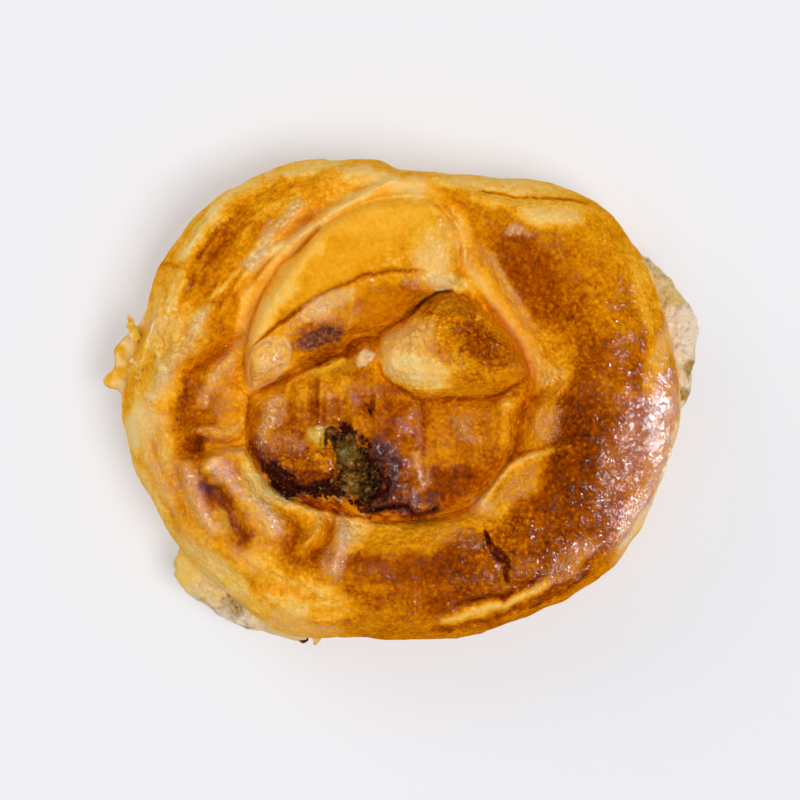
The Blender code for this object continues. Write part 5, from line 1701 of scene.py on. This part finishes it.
def burst_potato(lobes):
    """The mound in the burst: the crust's own height less a wall's thickness, with lumps, bits of
    potato and, to the right, wrinkles. Its edge drops under the crust. Gives its places, faces,
    tone and greenness."""
    def mound(x, y, level):
        bits = sum(rise * near_place(x, y, place, radius, 1.4)
                   for rise, radius, place in POTATO_BITS)
        uneven = waves(x, y, 0, MOUND_RIPPLES)
        uneven = uneven + 0.8 * ease((x + 9.5) / 2) * (0.6 - 1.8 * abs(ripples(x, y, 0, 1.4, 83)))
        crust = middle_height(x, y, CREASE_FLOOR, lobes)[0]
        lumps = bubbled(x, y, POTATO_LUMPS)
        return crust - 1.6 + uneven + lumps + bits - 3.0 * ease((level - 0.8) / 0.2)

    outline = from_photo(BURST_EDGE)
    outline = outline.mean(0) + (outline - outline.mean(0)) * 1.12
    places, faces = gathered(cushion(outline, MOUND_DISC, mound, lambda *place: MOUND_FLOOR))
    x, y, z = places.T
    tone = 0.14 + 0.32 * blisters(x, y, 3.0, 0.9, 71) + 0.25 * ripples(x, y, z, 1.2, 74)
    for _, radius, place in POTATO_BITS:
        tone += 0.30 * near_place(x, y, place, radius, 1.4)
    tone += 0.28 * near_place(x, y, *PALE_BIT, 1.5) - 0.26 * ease((x + 9.5) / 3)
    green = 0.8 * near_place(x, y, *GREEN_BIT, 1.5) + 0.2 * ripples(x, y, z, 2.0, 78)
    return places, faces, tone, green, 0.0


def leak(middle, thickness, outline, level, green, patches):
    """A crust of potato that boiled out of the side: a lumpy pillow whose outline is ragged, and
    patches of other tone, greenness and crispness on it."""
    places, faces = gathered(pillow(
        outline, LEAK_DISC, middle,
        lambda x, y: thickness / 2 + waves(x, y, 0, LEAK_RIPPLES) + bubbled(x, y, LEAK_LUMPS), 1.0))
    arm = (places - places.mean(0)) * (1, 1, 0)
    places = places + arm * waves(*places.T, LEAK_CRAGS)[:, None]
    looks = [level + waves(*places.T, LEAK_TONES), green + 0 * places[:, 0], 0 * places[:, 0]]
    for *here, place, radius in patches:
        near = np.hypot(*(places[:, :2] - from_photo(place)).T) / radius
        cover = ease(1.5 - near + 0.25 * ripples(*places.T, 2.0, 82))
        for look, value in zip(looks, here):
            look += (value - look) * cover
    return places, faces, *looks


class PLACINTA_OT_filling(bpy.types.Operator):
    """Make the potato filling: the rope inside, the mound in the burst and the two leaks"""

    bl_idname = "placinta.filling"
    bl_label = "Potato filling"

    def execute(self, context):
        path = smooth(FILLING_PATH, step=3.0)
        radius = np.interp(np.linspace(0, 1, len(path)), *zip(*FILLING_RADII))
        path = np.column_stack([path, np.full(len(path), FILLING_HEIGHT)])
        for name, (places, faces, tone, green, crisp) in {
            "potato_rope": (*gathered(tube(path, radius, 16)), 0.6, 0.1, 0.0),
            "burst_potato": burst_potato(lobe_list(context.scene.placinta_sizes)),
            "right_leak": leak(*RIGHT_LEAK),
            "lower_left_leak": leak(*LOWER_LEFT_LEAK),
        }.items():
            mesh = new_mesh(name, places, *faces)
            store(mesh, tone=tone, green=green, crisp=crisp)
            show(context, mesh, potato_material)
        return {"FINISHED"}


class PLACINTA_OT_stage(bpy.types.Operator):
    """Make the camera straight above, the soft lights and the pale floor"""

    bl_idname = "placinta.stage"
    bl_label = "Stage"

    def execute(self, context):
        scene = context.scene
        camera = self.add("camera", bpy.data.cameras.new("camera"))
        camera.location = (0, 0, CAMERA_HEIGHT)
        camera.data.sensor_width = SENSOR
        camera.data.lens = SENSOR * (CAMERA_HEIGHT * 1000 - SCALE_LEVEL) / (FRAME * PIXEL)
        camera.data.clip_end = 10
        scene.camera = camera

        for group, unseen in ((SOFT_LIGHTS, "visible_glossy"), (GLOSS_LIGHTS, "visible_diffuse")):
            for strength, width, place in group:
                lamp = self.light("softbox", "SUN", strength, place)
                lamp.data.angle = np.radians(width)
                setattr(lamp, unseen, False)
        place, size, power = SIDE_STRIP
        strip = self.light("side strip", "AREA", power, place)
        strip.data.shape = "RECTANGLE"
        strip.data.size, strip.data.size_y = size
        strip.visible_diffuse = False

        world = bpy.data.worlds.new("studio")
        scene.world = world
        world.use_nodes = True
        sky = world.node_tree.nodes["Background"].inputs
        sky["Color"].default_value = SKY_TINT
        sky["Strength"].default_value = WORLD_STRENGTH
        world.cycles_visibility.glossy = False

        half = FLOOR_SIZE / 2
        mesh = bpy.data.meshes.new("floor")
        mesh.from_pydata([(-half, -half, 0), (half, -half, 0), (half, half, 0), (-half, half, 0)],
                         [], [(0, 1, 2, 3)])
        mesh.materials.append(table_material(scene.placinta_colours))
        floor = self.add("floor", mesh)
        scene.view_settings.view_transform = "Standard"
        return {"FINISHED"}

    def add(self, name, data):
        """An object in the scene."""
        obj = bpy.data.objects.new(name, data)
        bpy.context.scene.collection.objects.link(obj)
        return obj

    def light(self, name, kind, energy, place):
        """A lamp that looks at the middle of the pastry."""
        lamp = bpy.data.lights.new(name, kind)
        lamp.energy = energy
        lamp.color = LAMP_TINT
        obj = self.add(name, lamp)
        obj.location = place
        obj.rotation_euler = (Vector((0, 0, 0.02)) - obj.location).to_track_quat("-Z", "Y").to_euler()
        return obj


class PLACINTA_PT_panel(bpy.types.Panel):
    """Sizes, colours and the steps that make the pastry"""

    bl_label = "Potato placinta"
    bl_idname = "PLACINTA_PT_panel"
    bl_space_type = "VIEW_3D"
    bl_region_type = "UI"
    bl_category = "Placinta"

    def draw(self, context):
        for group in (context.scene.placinta_sizes, context.scene.placinta_colours):
            column = self.layout.column()
            for name in group.__annotations__:
                column.prop(group, name)
        for step in STEPS_IN_ORDER:
            self.layout.operator(step.bl_idname)


STEPS_IN_ORDER = (PLACINTA_OT_outer_turn, PLACINTA_OT_inner_turn, PLACINTA_OT_flakes,
                  PLACINTA_OT_filling, PLACINTA_OT_stage)
CLASSES = (PlacintaSizes, PlacintaColours) + STEPS_IN_ORDER + (PLACINTA_PT_panel,)


def register():
    for cls in CLASSES:
        bpy.utils.register_class(cls)
    bpy.types.Scene.placinta_sizes = bpy.props.PointerProperty(type=PlacintaSizes)
    bpy.types.Scene.placinta_colours = bpy.props.PointerProperty(type=PlacintaColours)


def unregister():
    del bpy.types.Scene.placinta_colours
    del bpy.types.Scene.placinta_sizes
    for cls in reversed(CLASSES):
        bpy.utils.unregister_class(cls)


def main():
    register()
    bpy.ops.placinta.outer_turn()
    bpy.ops.placinta.inner_turn()
    bpy.ops.placinta.flakes()
    bpy.ops.placinta.filling()
    bpy.ops.placinta.stage()


if __name__ == "__main__":
    main()
